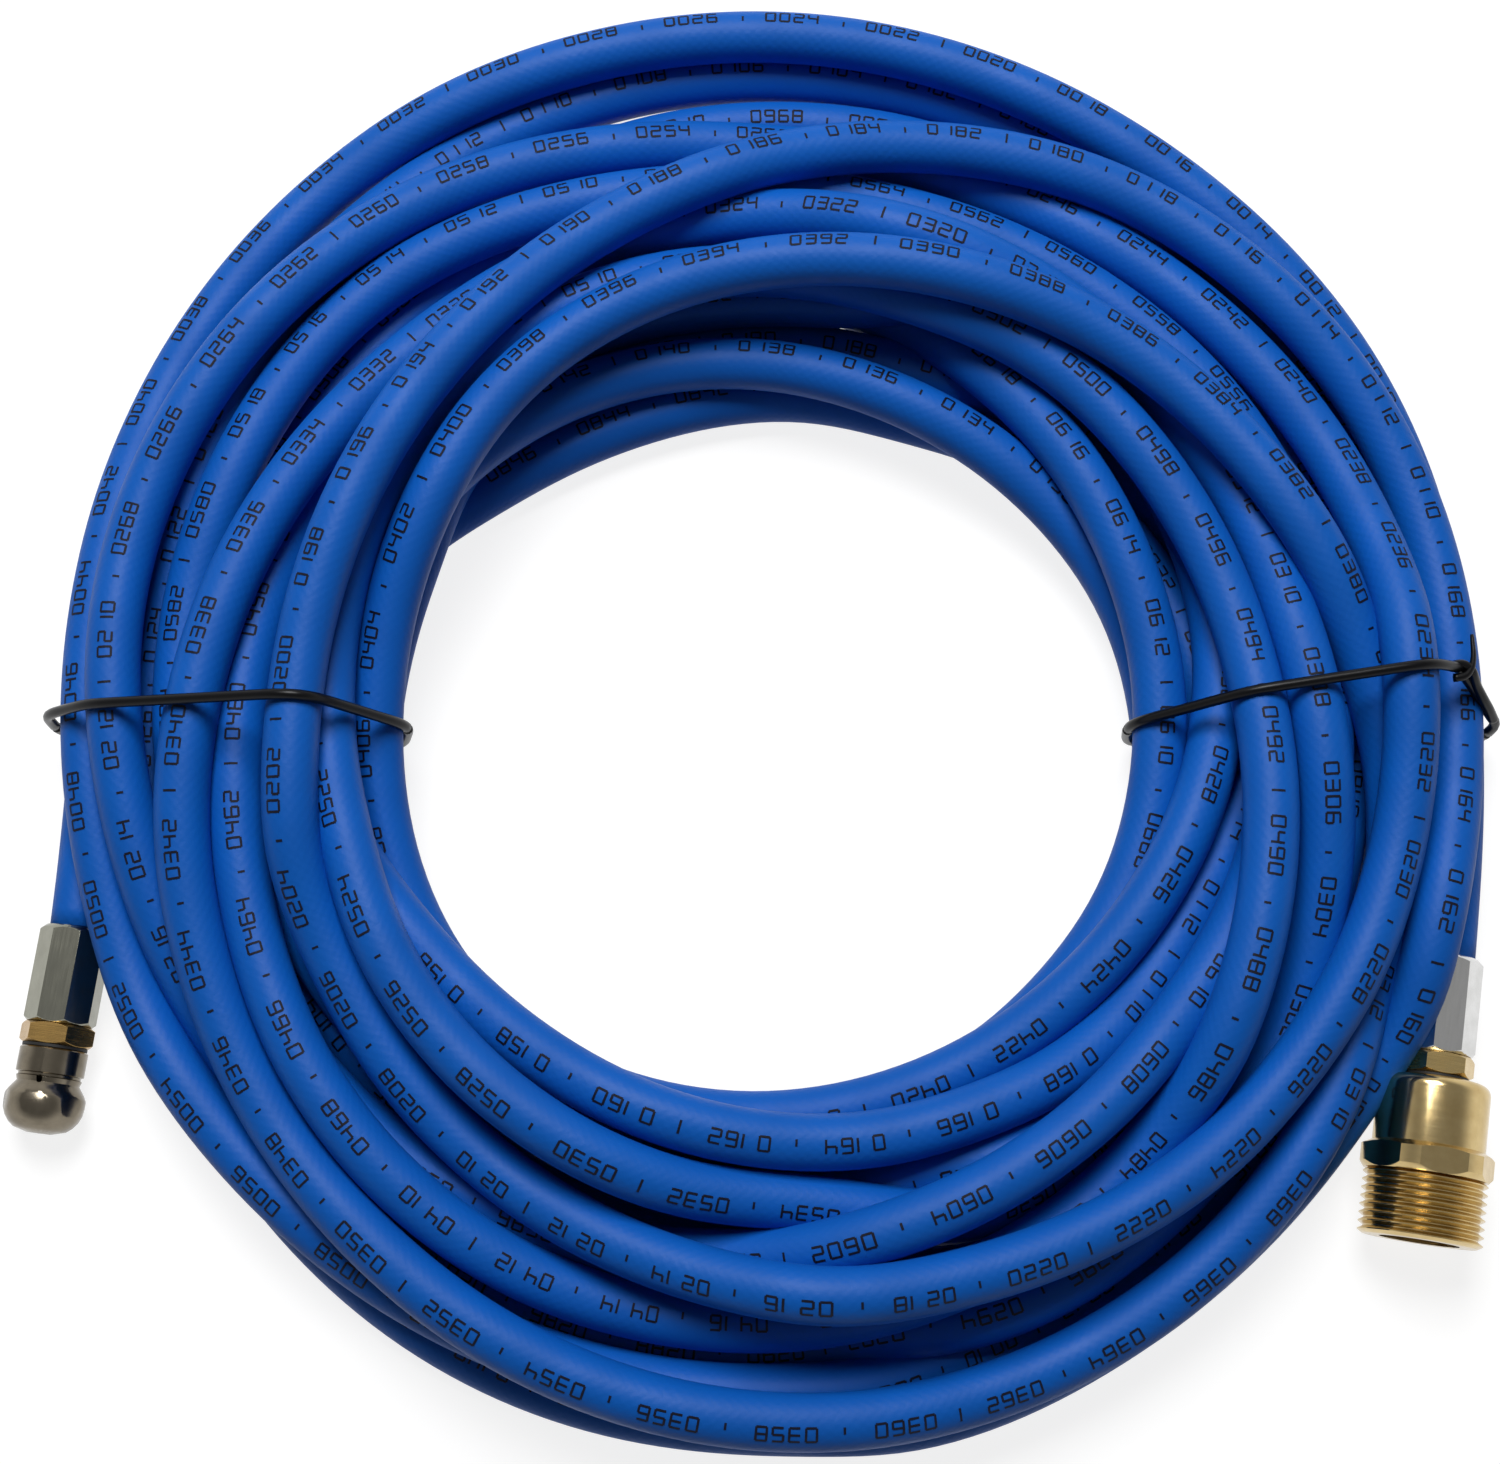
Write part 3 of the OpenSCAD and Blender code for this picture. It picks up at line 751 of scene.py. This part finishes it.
@dataclass
class Hose:
    """The whole hose, wound by its laps and settled, between its two fittings."""

    eye: tuple[float, float, float]
    diameter: float = 10.0
    centre: tuple[float, float] = (2.5, 0.0)
    laps: tuple[Lap, ...] = LAPS
    inlet_lead: Places = ((127.2, -53.4, 11.0), (128.9, -43.5, 11.0), (131.6, -22.4, 10.2),
                          (133.0, -8.0, 8.8))
    nozzle_lead: Places = ((-124.6, 24.0, 5.0), (-126.4, 2.0, 5.0), (-126.9, -18.0, 5.6),
                           (-126.9, -37.5, 6.95), (-127.8, -47.4, 6.95))
    first_stop: float = 0.35
    stops_cut: float = 1.35
    reads_per_stop: int = 12
    rounding: int = 6
    layer_step: float = 9.0
    layer_lift: float = 2.5
    lap_lift: float = 0.15
    point_step: float = 5.5
    smoothing: int = 48
    ring_step: float = 3.2
    sides: int = 24

    def wound(self) -> Pile:
        """Wind the laps into one line, from the inlet to the nozzle.

        Returns:
            The pile, before it settles.
        """
        radii = np.array([r for lap in self.laps for r in lap.radii], float)
        layers = np.array([int(c) for lap in self.laps for c in lap.layers], float)
        buried = np.array([float(str(k) in lap.buried) for lap in self.laps for k in range(len(lap.radii))])
        knots = np.arange(len(radii))
        at = np.arange(self.first_stop, len(radii) - self.stops_cut, 1 / self.reads_per_stop)
        angle = np.radians(45 * at)
        radius = smooth_curve(radii, at)
        layer = np.interp(at, knots, layers)
        lift = self.layer_lift * layer + self.lap_lift * (len(self.laps) - at / 8)
        coil = np.column_stack([
            self.centre[0] + radius * np.cos(angle),
            self.centre[1] + radius * np.sin(angle),
            self.diameter / 2 + self.layer_step * layer,
            np.interp(at, knots, buried),
            lift])
        start, end = (np.column_stack([lead, np.zeros((len(lead), 2))])
                      for lead in (self.inlet_lead, self.nozzle_lead))
        rows = eased(even(np.vstack([start, coil, end]), self.point_step), self.rounding)
        return Pile(rows[:, :3], rows[:, 3], rows[:, 4], self.eye, self.diameter)

    def make(self, material: Material, tube: NodeTree, ties: "list[WireTie]",
             fitting: list[Object]) -> Points:
        """Args:
            material: the jacket's material.
            tube: the tree that draws a tube.
            ties: the ties round the hose.
            fitting: the pieces at its far end; not used.

        Returns:
            The hose's middle line, in metres.
        """
        line = self.wound().settled(ties)
        path = even(eased(even(line, self.point_step / 4), self.smoothing), self.ring_step) * MM
        piece = grown(curve_object("hose_line", path), tube,
                      {"Radius": self.diameter / 2 * MM, "Sides": self.sides, "Material": material}, "hose")
        close_ends(piece)
        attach(piece, "hose")
        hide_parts("hose_coil", "hose_lead_inlet", "hose_lead_nozzle")
        return path


@dataclass
class LengthMarks:
    """Plain dark length marks printed along the hose: its centimetres as numbers, with ticks between.

    A digit is made of up to seven bars. SEGMENTS gives, for each bar, the digits that show it, where
    its middle lies in digit widths and heights, and whether it lies along the hose.
    """

    group: float = 20.0
    digits: int = 4
    height: float = 2.5
    width: float = 1.8
    pitch: float = 2.8
    stroke: float = 0.42
    tick: float = 5.5
    tall_every: int = 5
    lead: float = 20.0
    lift: float = 0.05
    roll_deg: float = 12.0
    swing_deg: float = 14.0
    swing_mm: float = 1700.0

    SEGMENTS = (("0235689", 0.0, 0.5, True), ("045689", -0.5, 0.25, False), ("01234789", 0.5, 0.25, False),
                ("2345689", 0.0, 0.0, True), ("0268", -0.5, -0.25, False), ("013456789", 0.5, -0.25, False),
                ("0235689", 0.0, -0.5, True))

    def bars(self, length: float) -> tuple[list, list]:
        """Lay out the print's bars on the flat, in metres.

        Numbers read against the hose's direction, because the coil is seen from above.

        Args:
            length: the hose's length, in millimetres.

        Returns:
            Each bar's place, as its distance along the hose and its height on the line, and each
            bar's size in the same directions.
        """
        places, sizes = [], []
        for group in range(1, int((length - self.lead) / self.group)):
            start = self.lead + group * self.group
            for column, char in enumerate(f"{round(group * self.group / 10):0{self.digits}d}"):
                for lit_for, x, y, level in self.SEGMENTS:
                    if char in lit_for:
                        places.append((start - column * self.pitch - x * self.width, y * self.height))
                        sizes.append((self.width, self.stroke) if level else (self.stroke, self.height / 2))
            tall = self.height if group % self.tall_every == 0 else self.height / 2
            places.append((start + self.tick, (tall - self.height) / 2))
            sizes.append((self.stroke, tall))
        return ([(x * MM, y * MM, 0.0) for x, y in places], [(x * MM, y * MM, 1.0) for x, y in sizes])

    def tree(self) -> NodeTree:
        """Build the tree that puts a bar at each point and wraps the print round the hose.

        Returns:
            A tree with the inputs Line, Reach, Roll, Swing, Swing Pitch and Material.
        """
        tree, given, result = new_tree("length_marks", {
            "Line": "NodeSocketObject", "Reach": "NodeSocketFloat", "Roll": "NodeSocketFloat",
            "Swing": "NodeSocketFloat", "Swing Pitch": "NodeSocketFloat", "Material": "NodeSocketMaterial"})
        size = add(tree, "GeometryNodeInputNamedAttribute", {"data_type": "FLOAT_VECTOR", "Name": "size"})
        bar = add(tree, "GeometryNodeMeshGrid",
                  {"Size X": 1.0, "Size Y": 1.0, "Vertices X": 2, "Vertices Y": 3})
        bars = add(tree, "GeometryNodeInstanceOnPoints", {},
                   {"Points": given.outputs["Geometry"], "Instance": bar.outputs["Mesh"],
                    "Scale": size.outputs["Attribute"]})
        apart = add(tree, "GeometryNodeRealizeInstances", {}, {"Geometry": bars.outputs["Instances"]})
        spot = add(tree, "GeometryNodeInputPosition")
        place = add(tree, "ShaderNodeSeparateXYZ", {}, {"Vector": spot.outputs["Position"]})
        hose = add(tree, "GeometryNodeObjectInfo", {}, {"Object": given.outputs["Line"]})
        line = add(tree, "GeometryNodeSampleCurve", {"mode": "LENGTH", "use_all_curves": True},
                   {"Curves": hose.outputs["Geometry"], "Length": place.outputs["X"]})
        side = add(tree, "ShaderNodeVectorMath", {"operation": "CROSS_PRODUCT", 1: (0.0, 0.0, 1.0)},
                   {0: line.outputs["Tangent"]})
        above = add(tree, "ShaderNodeVectorMath", {"operation": "CROSS_PRODUCT"},
                    {0: side.outputs["Vector"], 1: line.outputs["Tangent"]})
        straight = add(tree, "ShaderNodeVectorMath", {"operation": "NORMALIZE"}, {0: above.outputs["Vector"]})
        across = add(tree, "ShaderNodeMath", {"operation": "DIVIDE"},
                     {0: place.outputs["Y"], 1: given.outputs["Reach"]})
        turn = add(tree, "ShaderNodeMath", {"operation": "ADD"},
                   {0: across.outputs[0], 1: given.outputs["Roll"]})
        swing = add(tree, "ShaderNodeMath", {"operation": "MULTIPLY"},
                    {0: place.outputs["X"], 1: given.outputs["Swing Pitch"]})
        wave = add(tree, "ShaderNodeMath", {"operation": "SINE"}, {0: swing.outputs[0]})
        swung = add(tree, "ShaderNodeMath", {"operation": "MULTIPLY_ADD"},
                    {0: wave.outputs[0], 1: given.outputs["Swing"], 2: turn.outputs[0]})
        rolled = add(tree, "ShaderNodeVectorRotate", {"rotation_type": "AXIS_ANGLE"},
                     {"Vector": straight.outputs["Vector"], "Axis": line.outputs["Tangent"],
                      "Angle": swung.outputs[0]})
        out = add(tree, "ShaderNodeVectorMath", {"operation": "SCALE"},
                  {0: rolled.outputs["Vector"], "Scale": given.outputs["Reach"]})
        wrapped = add(tree, "ShaderNodeVectorMath", {"operation": "ADD"},
                      {0: line.outputs["Position"], 1: out.outputs["Vector"]})
        moved = add(tree, "GeometryNodeSetPosition", {},
                    {"Geometry": apart.outputs["Geometry"], "Position": wrapped.outputs["Vector"]})
        turned = add(tree, "GeometryNodeFlipFaces", {}, {"Mesh": moved.outputs["Geometry"]})
        whole = add(tree, "GeometryNodeRealizeInstances", {}, {"Geometry": turned.outputs["Mesh"]})
        dressed = add(tree, "GeometryNodeSetMaterial", {},
                      {"Geometry": whole.outputs["Geometry"], "Material": given.outputs["Material"]})
        tree.links.new(dressed.outputs["Geometry"], result.inputs["Geometry"])
        return tree

    def make(self, path: Points, radius: float, ink: Material) -> None:
        """Print the marks along the hose.

        Args:
            path: the hose's middle line, in metres.
            radius: the hose's radius, in millimetres.
            ink: the ink's material.
        """
        length = float(steps(path).sum())
        places, sizes = self.bars(length / MM)
        mesh = bpy.data.meshes.new("marks_flat")
        mesh.from_pydata(places, [], [])
        mesh.attributes.new("size", "FLOAT_VECTOR", "POINT").data.foreach_set("vector", np.ravel(sizes))
        line = curve_object("print_line", path)
        piece = grown(placed("marks_flat", mesh), self.tree(), {
            "Line": line, "Reach": (radius + self.lift) * MM, "Roll": math.radians(self.roll_deg),
            "Swing": math.radians(self.swing_deg), "Swing Pitch": math.tau / (self.swing_mm * MM),
            "Material": ink}, "hose_length_marks")
        bpy.data.objects.remove(line)
        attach(piece, "hose")
        LOG.info("%s: %d bars", piece.name, len(places))


# ---------------------------------------------------------------- the ties


class Side(Enum):
    """The two places where the coil is tied."""

    LEFT = "left"
    RIGHT = "right"


@dataclass(frozen=True)
class WireEnd:
    """One free end of a tie.

    Its places count from the knot, first to last, and width and tip are how wide the wire is at
    the first and the last of them, where 1 is its full width.
    """

    places: Places
    width: float = 1.0
    tip: float = 1.0


@dataclass
class WireTie:
    """A black plastic-coated wire drawn tight round the coil, with its two ends twisted."""

    side: Side
    inner: tuple[float, float]
    outer: tuple[float, float]
    knot_share: float
    ends: tuple[WireEnd, ...]
    drape: float = 0.0
    press: float = 0.0
    slack: float = 0.0
    drape_share: float = 0.8
    drape_foot: float = 8.0
    drape_spread: int = 2
    slack_spread: int = 12
    press_spread: int = 8
    press_speed: float = 1.4
    wire: float = 2.0
    hose: float = 10.0
    floor_gap: float = 0.05
    strand_margin: float = 25.0
    lift_gap: float = 0.2
    lift_reach: float = 30.0
    lift_ramp: float = 25.0
    lift_margin: float = 20.0
    outer_share: float = 0.85
    step_deg: float = 6.0
    spacing: float = 1.5
    rounding: int = 5
    overlap: int = 8
    end_spacing: float = 0.6
    end_rounding: int = 3
    sides: int = 12

    def _way(self) -> tuple[Points, Points, Points, float]:
        """Lay the tie's frame on the floor plan.

        Returns:
            The tie's start, its directions outwards and beside, and its length.
        """
        start, end = np.array(self.inner), np.array(self.outer)
        length = float(np.linalg.norm(end - start))
        way = (end - start) / length
        return start, way, np.array([-way[1], way[0]]), length

    def _local(self, points: Points) -> tuple[Points, Points]:
        """Read points in the tie's frame.

        Args:
            points: the points.

        Returns:
            How far out along the tie they lie, and how far beside it.
        """
        start, way, beside, _ = self._way()
        rel = points[:, :2] - start
        return rel @ way, rel @ beside

    def lift_under(self, points: Points) -> Points:
        """Give how much the tie's lower run lifts the hose.

        Args:
            points: points of the hose's middle line, in millimetres.

        Returns:
            The lift at each of them, in millimetres.
        """
        out, beside = self._local(points)
        length = self._way()[3]
        near = np.clip((self.lift_reach - np.abs(beside)) / self.lift_ramp, 0, 1)
        inside = np.clip((self.lift_margin - np.maximum(-out, out - length)) / self.lift_margin, 0, 1)
        return (self.wire + self.lift_gap) * near * near * (3 - 2 * near) * inside

    def strands(self, line: Points) -> Points:
        """Find where the hose crosses the tie's plane.

        Args:
            line: the hose's middle line, in millimetres.

        Returns:
            How far out and how high each crossing is.
        """
        out, beside = self._local(line)
        length = self._way()[3]
        crossing = beside[:-1] * beside[1:] <= 0
        bound = (out[:-1] > -self.strand_margin) & (out[:-1] < length + self.strand_margin)
        hit = np.nonzero(crossing & bound)[0]
        share = beside[hit] / (beside[hit] - beside[hit + 1])
        return np.column_stack([out[hit] + share * (out[hit + 1] - out[hit]),
                                line[hit, 2] + share * (line[hit + 1, 2] - line[hit, 2])])

    def loop(self, line: Points) -> Points:
        """Draw the wire's middle line tight round the strands.

        The upper run lies in the tie's plane. Where the wire comes down at its outer end it may
        drape to the side, press into the hose, or stand a little slack.

        Args:
            line: the hose's middle line, in millimetres.

        Returns:
            The closed line's points, in millimetres.
        """
        strands = self.strands(line)
        reach = (self.hose + self.wire) / 2
        angles = np.radians(np.arange(0, 360, self.step_deg))
        ways = np.column_stack([np.cos(angles), np.sin(angles)])
        held = strands[np.argmax(strands @ ways.T, axis=0)] + reach * ways
        held[:, 1] = np.maximum(held[:, 1], self.wire / 2 + self.floor_gap)
        closed = even(np.vstack([held, held[:1]]), self.spacing)[:-1]
        over = self.overlap
        closed = eased(np.vstack([closed[-over:], closed, closed[:over]]), self.rounding)[over:-over]
        start, way, beside, _ = self._way()
        knot = self.drape_share * closed[:, 1].max()
        down = np.clip((knot - closed[:, 1]) / (knot - self.drape_foot), 0, 1)
        out = np.clip(closed[:, 0] / closed[:, 0].max(), 0, 1)
        aside = self.drape * out ** self.drape_spread * (1 - (1 - down) ** 2)
        pressed = np.sin(np.pi * np.minimum(self.press_speed * down, 1))
        further = self.slack * out ** self.slack_spread - self.press * out ** self.press_spread * pressed
        plan = start + (closed[:, :1] + further[:, None]) * way + aside[:, None] * beside
        inside = self.wire / 2 + self.floor_gap
        plan[:, 0] = np.clip(plan[:, 0], CAD_BOX[0][0] / MM + inside, CAD_BOX[1][0] / MM - inside)
        return np.column_stack([plan, closed[:, 1]])

    def knot(self, loop: Points) -> Points:
        """Find the point of the loop's outer side where its ends are twisted.

        Args:
            loop: the loop's points, in millimetres.

        Returns:
            The point.
        """
        out, _ = self._local(loop)
        outer = loop[out > self.outer_share * out.max()]
        return outer[np.argmin(np.abs(outer[:, 2] - self.knot_share * loop[:, 2].max()))]

    def make(self, line: Points, material: Material, tube: NodeTree) -> None:
        """Build the tie and its free ends.

        Args:
            line: the hose's middle line, in millimetres.
            material: the coating's material.
            tube: the tree that draws a tube.
        """
        loop = self.loop(line)
        name = f"tie_{self.side.value}"
        runs = {name: (loop, True, None)}
        for number, end in enumerate(self.ends, 1):
            points = even(self.knot(loop) + np.array(end.places), self.end_spacing)
            widths = np.linspace(end.width, end.tip, len(points))
            runs[f"{name}_end_{number}"] = (eased(points, self.end_rounding), False, widths)
        for run, (points, closed, widths) in runs.items():
            piece = grown(curve_object(f"{run}_line", points * MM, closed, widths), tube,
                          {"Radius": self.wire / 2 * MM, "Sides": self.sides, "Material": material}, run)
            close_ends(piece)
            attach(piece, "hose")
        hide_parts(f"tie_sheath_{self.side.value}", f"tie_core_{self.side.value}")


TIES = (
    WireTie(
        Side.LEFT, inner=(-66.4, -11.3), outer=(-135.3, -9.0), knot_share=0.08, slack=1.8,
        ends=(WireEnd(((0.2, 0.0, 0.2), (-0.2, 2.2, -0.6), (-0.4, 5.0, -1.1), (-0.4, 8.0, -1.1))),)),
    WireTie(
        Side.RIGHT, inner=(70.3, -10.8), outer=(131.6, -2.0), knot_share=0.8, drape=-9.0, press=2.0,
        ends=(WireEnd(((-2.0, -1.5, 1.5), (0.2, -1.4, 1.7), (1.6, 0.4, 1.4), (2.2, 3.0, 0.8),
                       (2.4, 7.0, 0.0)),
                      width=0.8, tip=0.35),
              WireEnd(((-2.0, 0.8, 1.5), (0.0, 1.4, 1.2), (1.6, 0.0, 1.2), (3.4, -2.0, -2.6),
                       (5.4, -3.8, -5.4), (7.2, -5.0, -8.2), (9.0, -6.2, -11.6)),
                      width=0.85))),
)


# ---------------------------------------------------------------- the fittings


@dataclass
class Fittings:
    """The metal and rubber of both hose ends, whose shapes come from the CAD model."""

    # At the nozzle end the steel and brass are darker copies of the inlet's: painted shade standing in for
    # the dark hose that they reflect.
    tones: dict[str, tuple[str, str, str, str]] = field(default_factory=lambda: {
        "inlet": ("#e6e6e6", "#c6c6c4", "#dcc48c", "#b89a60"),
        "nozzle": ("#a0a094", "#848478", "#c4a064", "#9c7c46")})
    edge: float = 0.16
    weld: float = 0.001
    flat_deg: float = 0.5
    sharp_deg: float = 18.0
    corner_deg: float = 30.0

    def broken_edges(self, node: str, body: str, material: Material) -> Object:
        """Make a metal piece again with its sharp corners broken, so that they catch the light.

        Args:
            node: the CAD node, whose merged copy the piece is.
            body: the body that the piece rides on.
            material: the piece's finish.

        Returns:
            The piece that replaces the node.
        """
        shell = bmesh.new()
        shell.from_mesh(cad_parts[node].data)
        bmesh.ops.remove_doubles(shell, verts=shell.verts, dist=self.weld * MM)
        bmesh.ops.dissolve_limit(shell, angle_limit=math.radians(self.flat_deg), verts=shell.verts,
                                 edges=shell.edges)
        corners = [e for e in shell.edges if len(e.link_faces) == 2
                   and e.calc_face_angle(0.0) > math.radians(self.corner_deg)]
        bmesh.ops.bevel(shell, geom=corners, offset=self.edge * MM, segments=1, profile=0.5, affect="EDGES",
                        clamp_overlap=True)
        bmesh.ops.recalc_face_normals(shell, faces=shell.faces)
        for face in shell.faces:
            face.smooth = True
            face.material_index = 0
        mesh = bpy.data.meshes.new(f"{node}_finished")
        shell.to_mesh(mesh)
        shell.free()
        mesh.set_sharp_from_angle(angle=math.radians(self.sharp_deg))
        mesh.materials.append(material)
        piece = placed(f"{node}_finished", mesh)
        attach(piece, body)
        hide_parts(node)
        LOG.info("%s: %d faces", piece.name, len(mesh.polygons))
        return piece

    def make(self, jacket: Material) -> list[Object]:
        """Give each CAD node the finish of the real piece.

        Args:
            jacket: the hose jacket's material.

        Returns:
            The pieces on the nozzle's end of the hose.
        """
        plain = {"seal_ring": SEAL_RUBBER.make(), "hose_cover": jacket,
                 "hose_braid": Woven().make(), "hose_liner": LINER.make()}
        metal = {}
        for end, axis in (("inlet", INLET), ("nozzle", NOZZLE)):
            light, dark, warm, worn = self.tones[end]
            # Zinc plate over swaged flats: pale, with faint streaks along it and sharp bright edges; at the
            # nozzle end its darker tones are painted shade.
            steel = Metal(f"zinc_plated_swaged_steel_{end}", axis, light, dark, 0.2, rings=False)
            # Turned brass: warm yellow, its highlight broken into fine rings; at the nozzle end its darker
            # tones are painted shade.
            brass = Metal(f"turned_brass_{end}", axis, warm, worn, 0.26)
            metal[end] = (self.broken_edges(f"{end}_ferrule", "hose", steel.make()),
                          self.broken_edges(f"{end}_hose_tail", "hose", brass.make()))
            for part, material in plain.items():
                self._put(f"{end}_{part}", material)
        # The adapter's brass: freshly turned, so brighter and glossier than the hose tails.
        adapter = Metal("turned_brass_adapter", INLET, "#dcc692", "#b59a66", 0.17)
        self.broken_edges("inlet_adapter", "adapter", adapter.make())
        # Nickel plate: grey-brown, its base colour darkened as a painted dark reflection of the dim
        # surroundings, with a small hard highlight on the bulb.
        nickel = Metal("nickel_plated_nozzle", NOZZLE, "#8f8676", "#635c50", 0.2)
        head = self.broken_edges("jet_nozzle", "nozzle", nickel.make())
        return [*metal["nozzle"], head]

    @staticmethod
    def _put(node: str, material: Material) -> None:
        """Give a CAD node a material."""
        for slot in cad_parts[node].material_slots:
            slot.material = material


# ---------------------------------------------------------------- the setting


@dataclass
class Studio:
    """A pale floor, soft light and the camera."""

    eye: tuple[float, float, float] = (-1.8, -108.0, 433.3)
    tilt_deg: float = 13.0
    lens_mm: float = 54.96
    floor_size: float = 6.0
    floor: str = "#909090"
    floor_glow: float = 0.84
    lamp_place: tuple[float, float, float] = (-0.08, 0.48, 0.92)
    lamp_size: float = 0.5
    lamp_power: float = 10.0
    fill: float = 0.06
    ceiling: float = 0.3

    def camera(self) -> None:
        """Set the camera above the coil, a little in front of its middle."""
        data = bpy.data.cameras.new("camera")
        data.sensor_fit = "HORIZONTAL"
        data.sensor_width = 36.0
        data.lens = self.lens_mm
        data.clip_start = 0.01
        camera = placed("camera", data)
        camera.location = [v * MM for v in self.eye]
        camera.rotation_euler = (math.radians(self.tilt_deg), 0.0, 0.0)
        bpy.context.scene.camera = camera

    def ground(self) -> None:
        """Lay the floor: matt white paper, which shows a soft shadow and no shine."""
        half = self.floor_size / 2
        corners = [(-half, -half, 0), (half, -half, 0), (half, half, 0), (-half, half, 0)]
        mesh = bpy.data.meshes.new("floor")
        mesh.from_pydata(corners, [], [(0, 1, 2, 3)])
        floor = placed("floor", mesh)
        material, tree, shader = surface("matt_paper_floor", {
            "Base Color": linear(self.floor), "Roughness": 0.9, "Specular IOR Level": 0.1,
            "Emission Color": (1, 1, 1, 1)})
        rays = add(tree, "ShaderNodeLightPath")
        seen = add(tree, "ShaderNodeMath", {"operation": "ADD"},
                   {0: rays.outputs["Is Camera Ray"], 1: rays.outputs["Is Glossy Ray"]})
        glow = add(tree, "ShaderNodeMath", {"operation": "MULTIPLY", 1: self.floor_glow},
                   {0: seen.outputs[0]})
        tree.links.new(glow.outputs[0], shader.inputs["Emission Strength"])
        mesh.materials.append(material)

    def lamp(self) -> None:
        """Hang one square soft lamp over the coil, a little behind it."""
        data = bpy.data.lights.new("softbox", "AREA")
        data.shape = "SQUARE"
        data.size = self.lamp_size
        data.energy = self.lamp_power
        lamp = placed("softbox", data)
        lamp.location = self.lamp_place
        lamp.rotation_euler = (-lamp.location).to_track_quat("-Z", "Y").to_euler()

    def room(self) -> None:
        """Set the surrounding light: dim all round, with a white horizon as the backdrop."""
        world = bpy.data.worlds.new("studio")
        world.use_nodes = True
        tree = world.node_tree
        back = tree.nodes["Background"]
        rays = add(tree, "ShaderNodeLightPath")
        place = add(tree, "ShaderNodeTexCoord")
        height = add(tree, "ShaderNodeSeparateXYZ", {}, {"Vector": place.outputs["Generated"]})
        backdrop = add(tree, "ShaderNodeMapRange",
                       {"interpolation_type": "SMOOTHSTEP", "From Min": 0.15, "From Max": 0.75,
                        "To Min": 1.0, "To Max": self.ceiling},
                       {"Value": height.outputs["Z"]})
        direct = add(tree, "ShaderNodeMath", {"operation": "MAXIMUM"},
                     {0: rays.outputs["Is Camera Ray"], 1: rays.outputs["Is Glossy Ray"]})
        seen = add(tree, "ShaderNodeMath", {"operation": "MAXIMUM"},
                   {0: direct.outputs[0], 1: rays.outputs["Is Transmission Ray"]})
        strength = add(tree, "ShaderNodeMix", {"data_type": "FLOAT", 2: self.fill},
                       {0: seen.outputs[0], 3: backdrop.outputs["Result"]})
        back.inputs["Color"].default_value = (1, 1, 1, 1)
        tree.links.new(strength.outputs[0], back.inputs["Strength"])
        bpy.context.scene.world = world
        bpy.context.scene.view_settings.view_transform = "Standard"


def write_sizes() -> None:
    """Define a helper that gives a box as plain lists; nothing is written."""
    def rows(box: Any) -> list:
        """Give a box as plain lists."""
        return [[float(v) for v in corner] for corner in box]


def main() -> None:
    """Build the pieces in order; the length marks and the finished metal pieces are logged."""
    logging.basicConfig(level=logging.INFO, format="%(name)s: %(message)s")
    studio = Studio()
    studio.camera()
    studio.ground()
    studio.lamp()
    studio.room()
    tube = sweep_tree()
    jacket = ExtrudedJacket().make()
    coating = TIE_COATING.make()
    ink = MARK_INK.make()
    head = Fittings().make(jacket)
    hose = Hose(studio.eye)
    path = hose.make(jacket, tube, list(TIES), head)
    LengthMarks().make(path, hose.diameter / 2, ink)
    for tie in TIES:
        tie.make(path / MM, coating, tube)
    write_sizes()


if __name__ == "__main__":
    main()
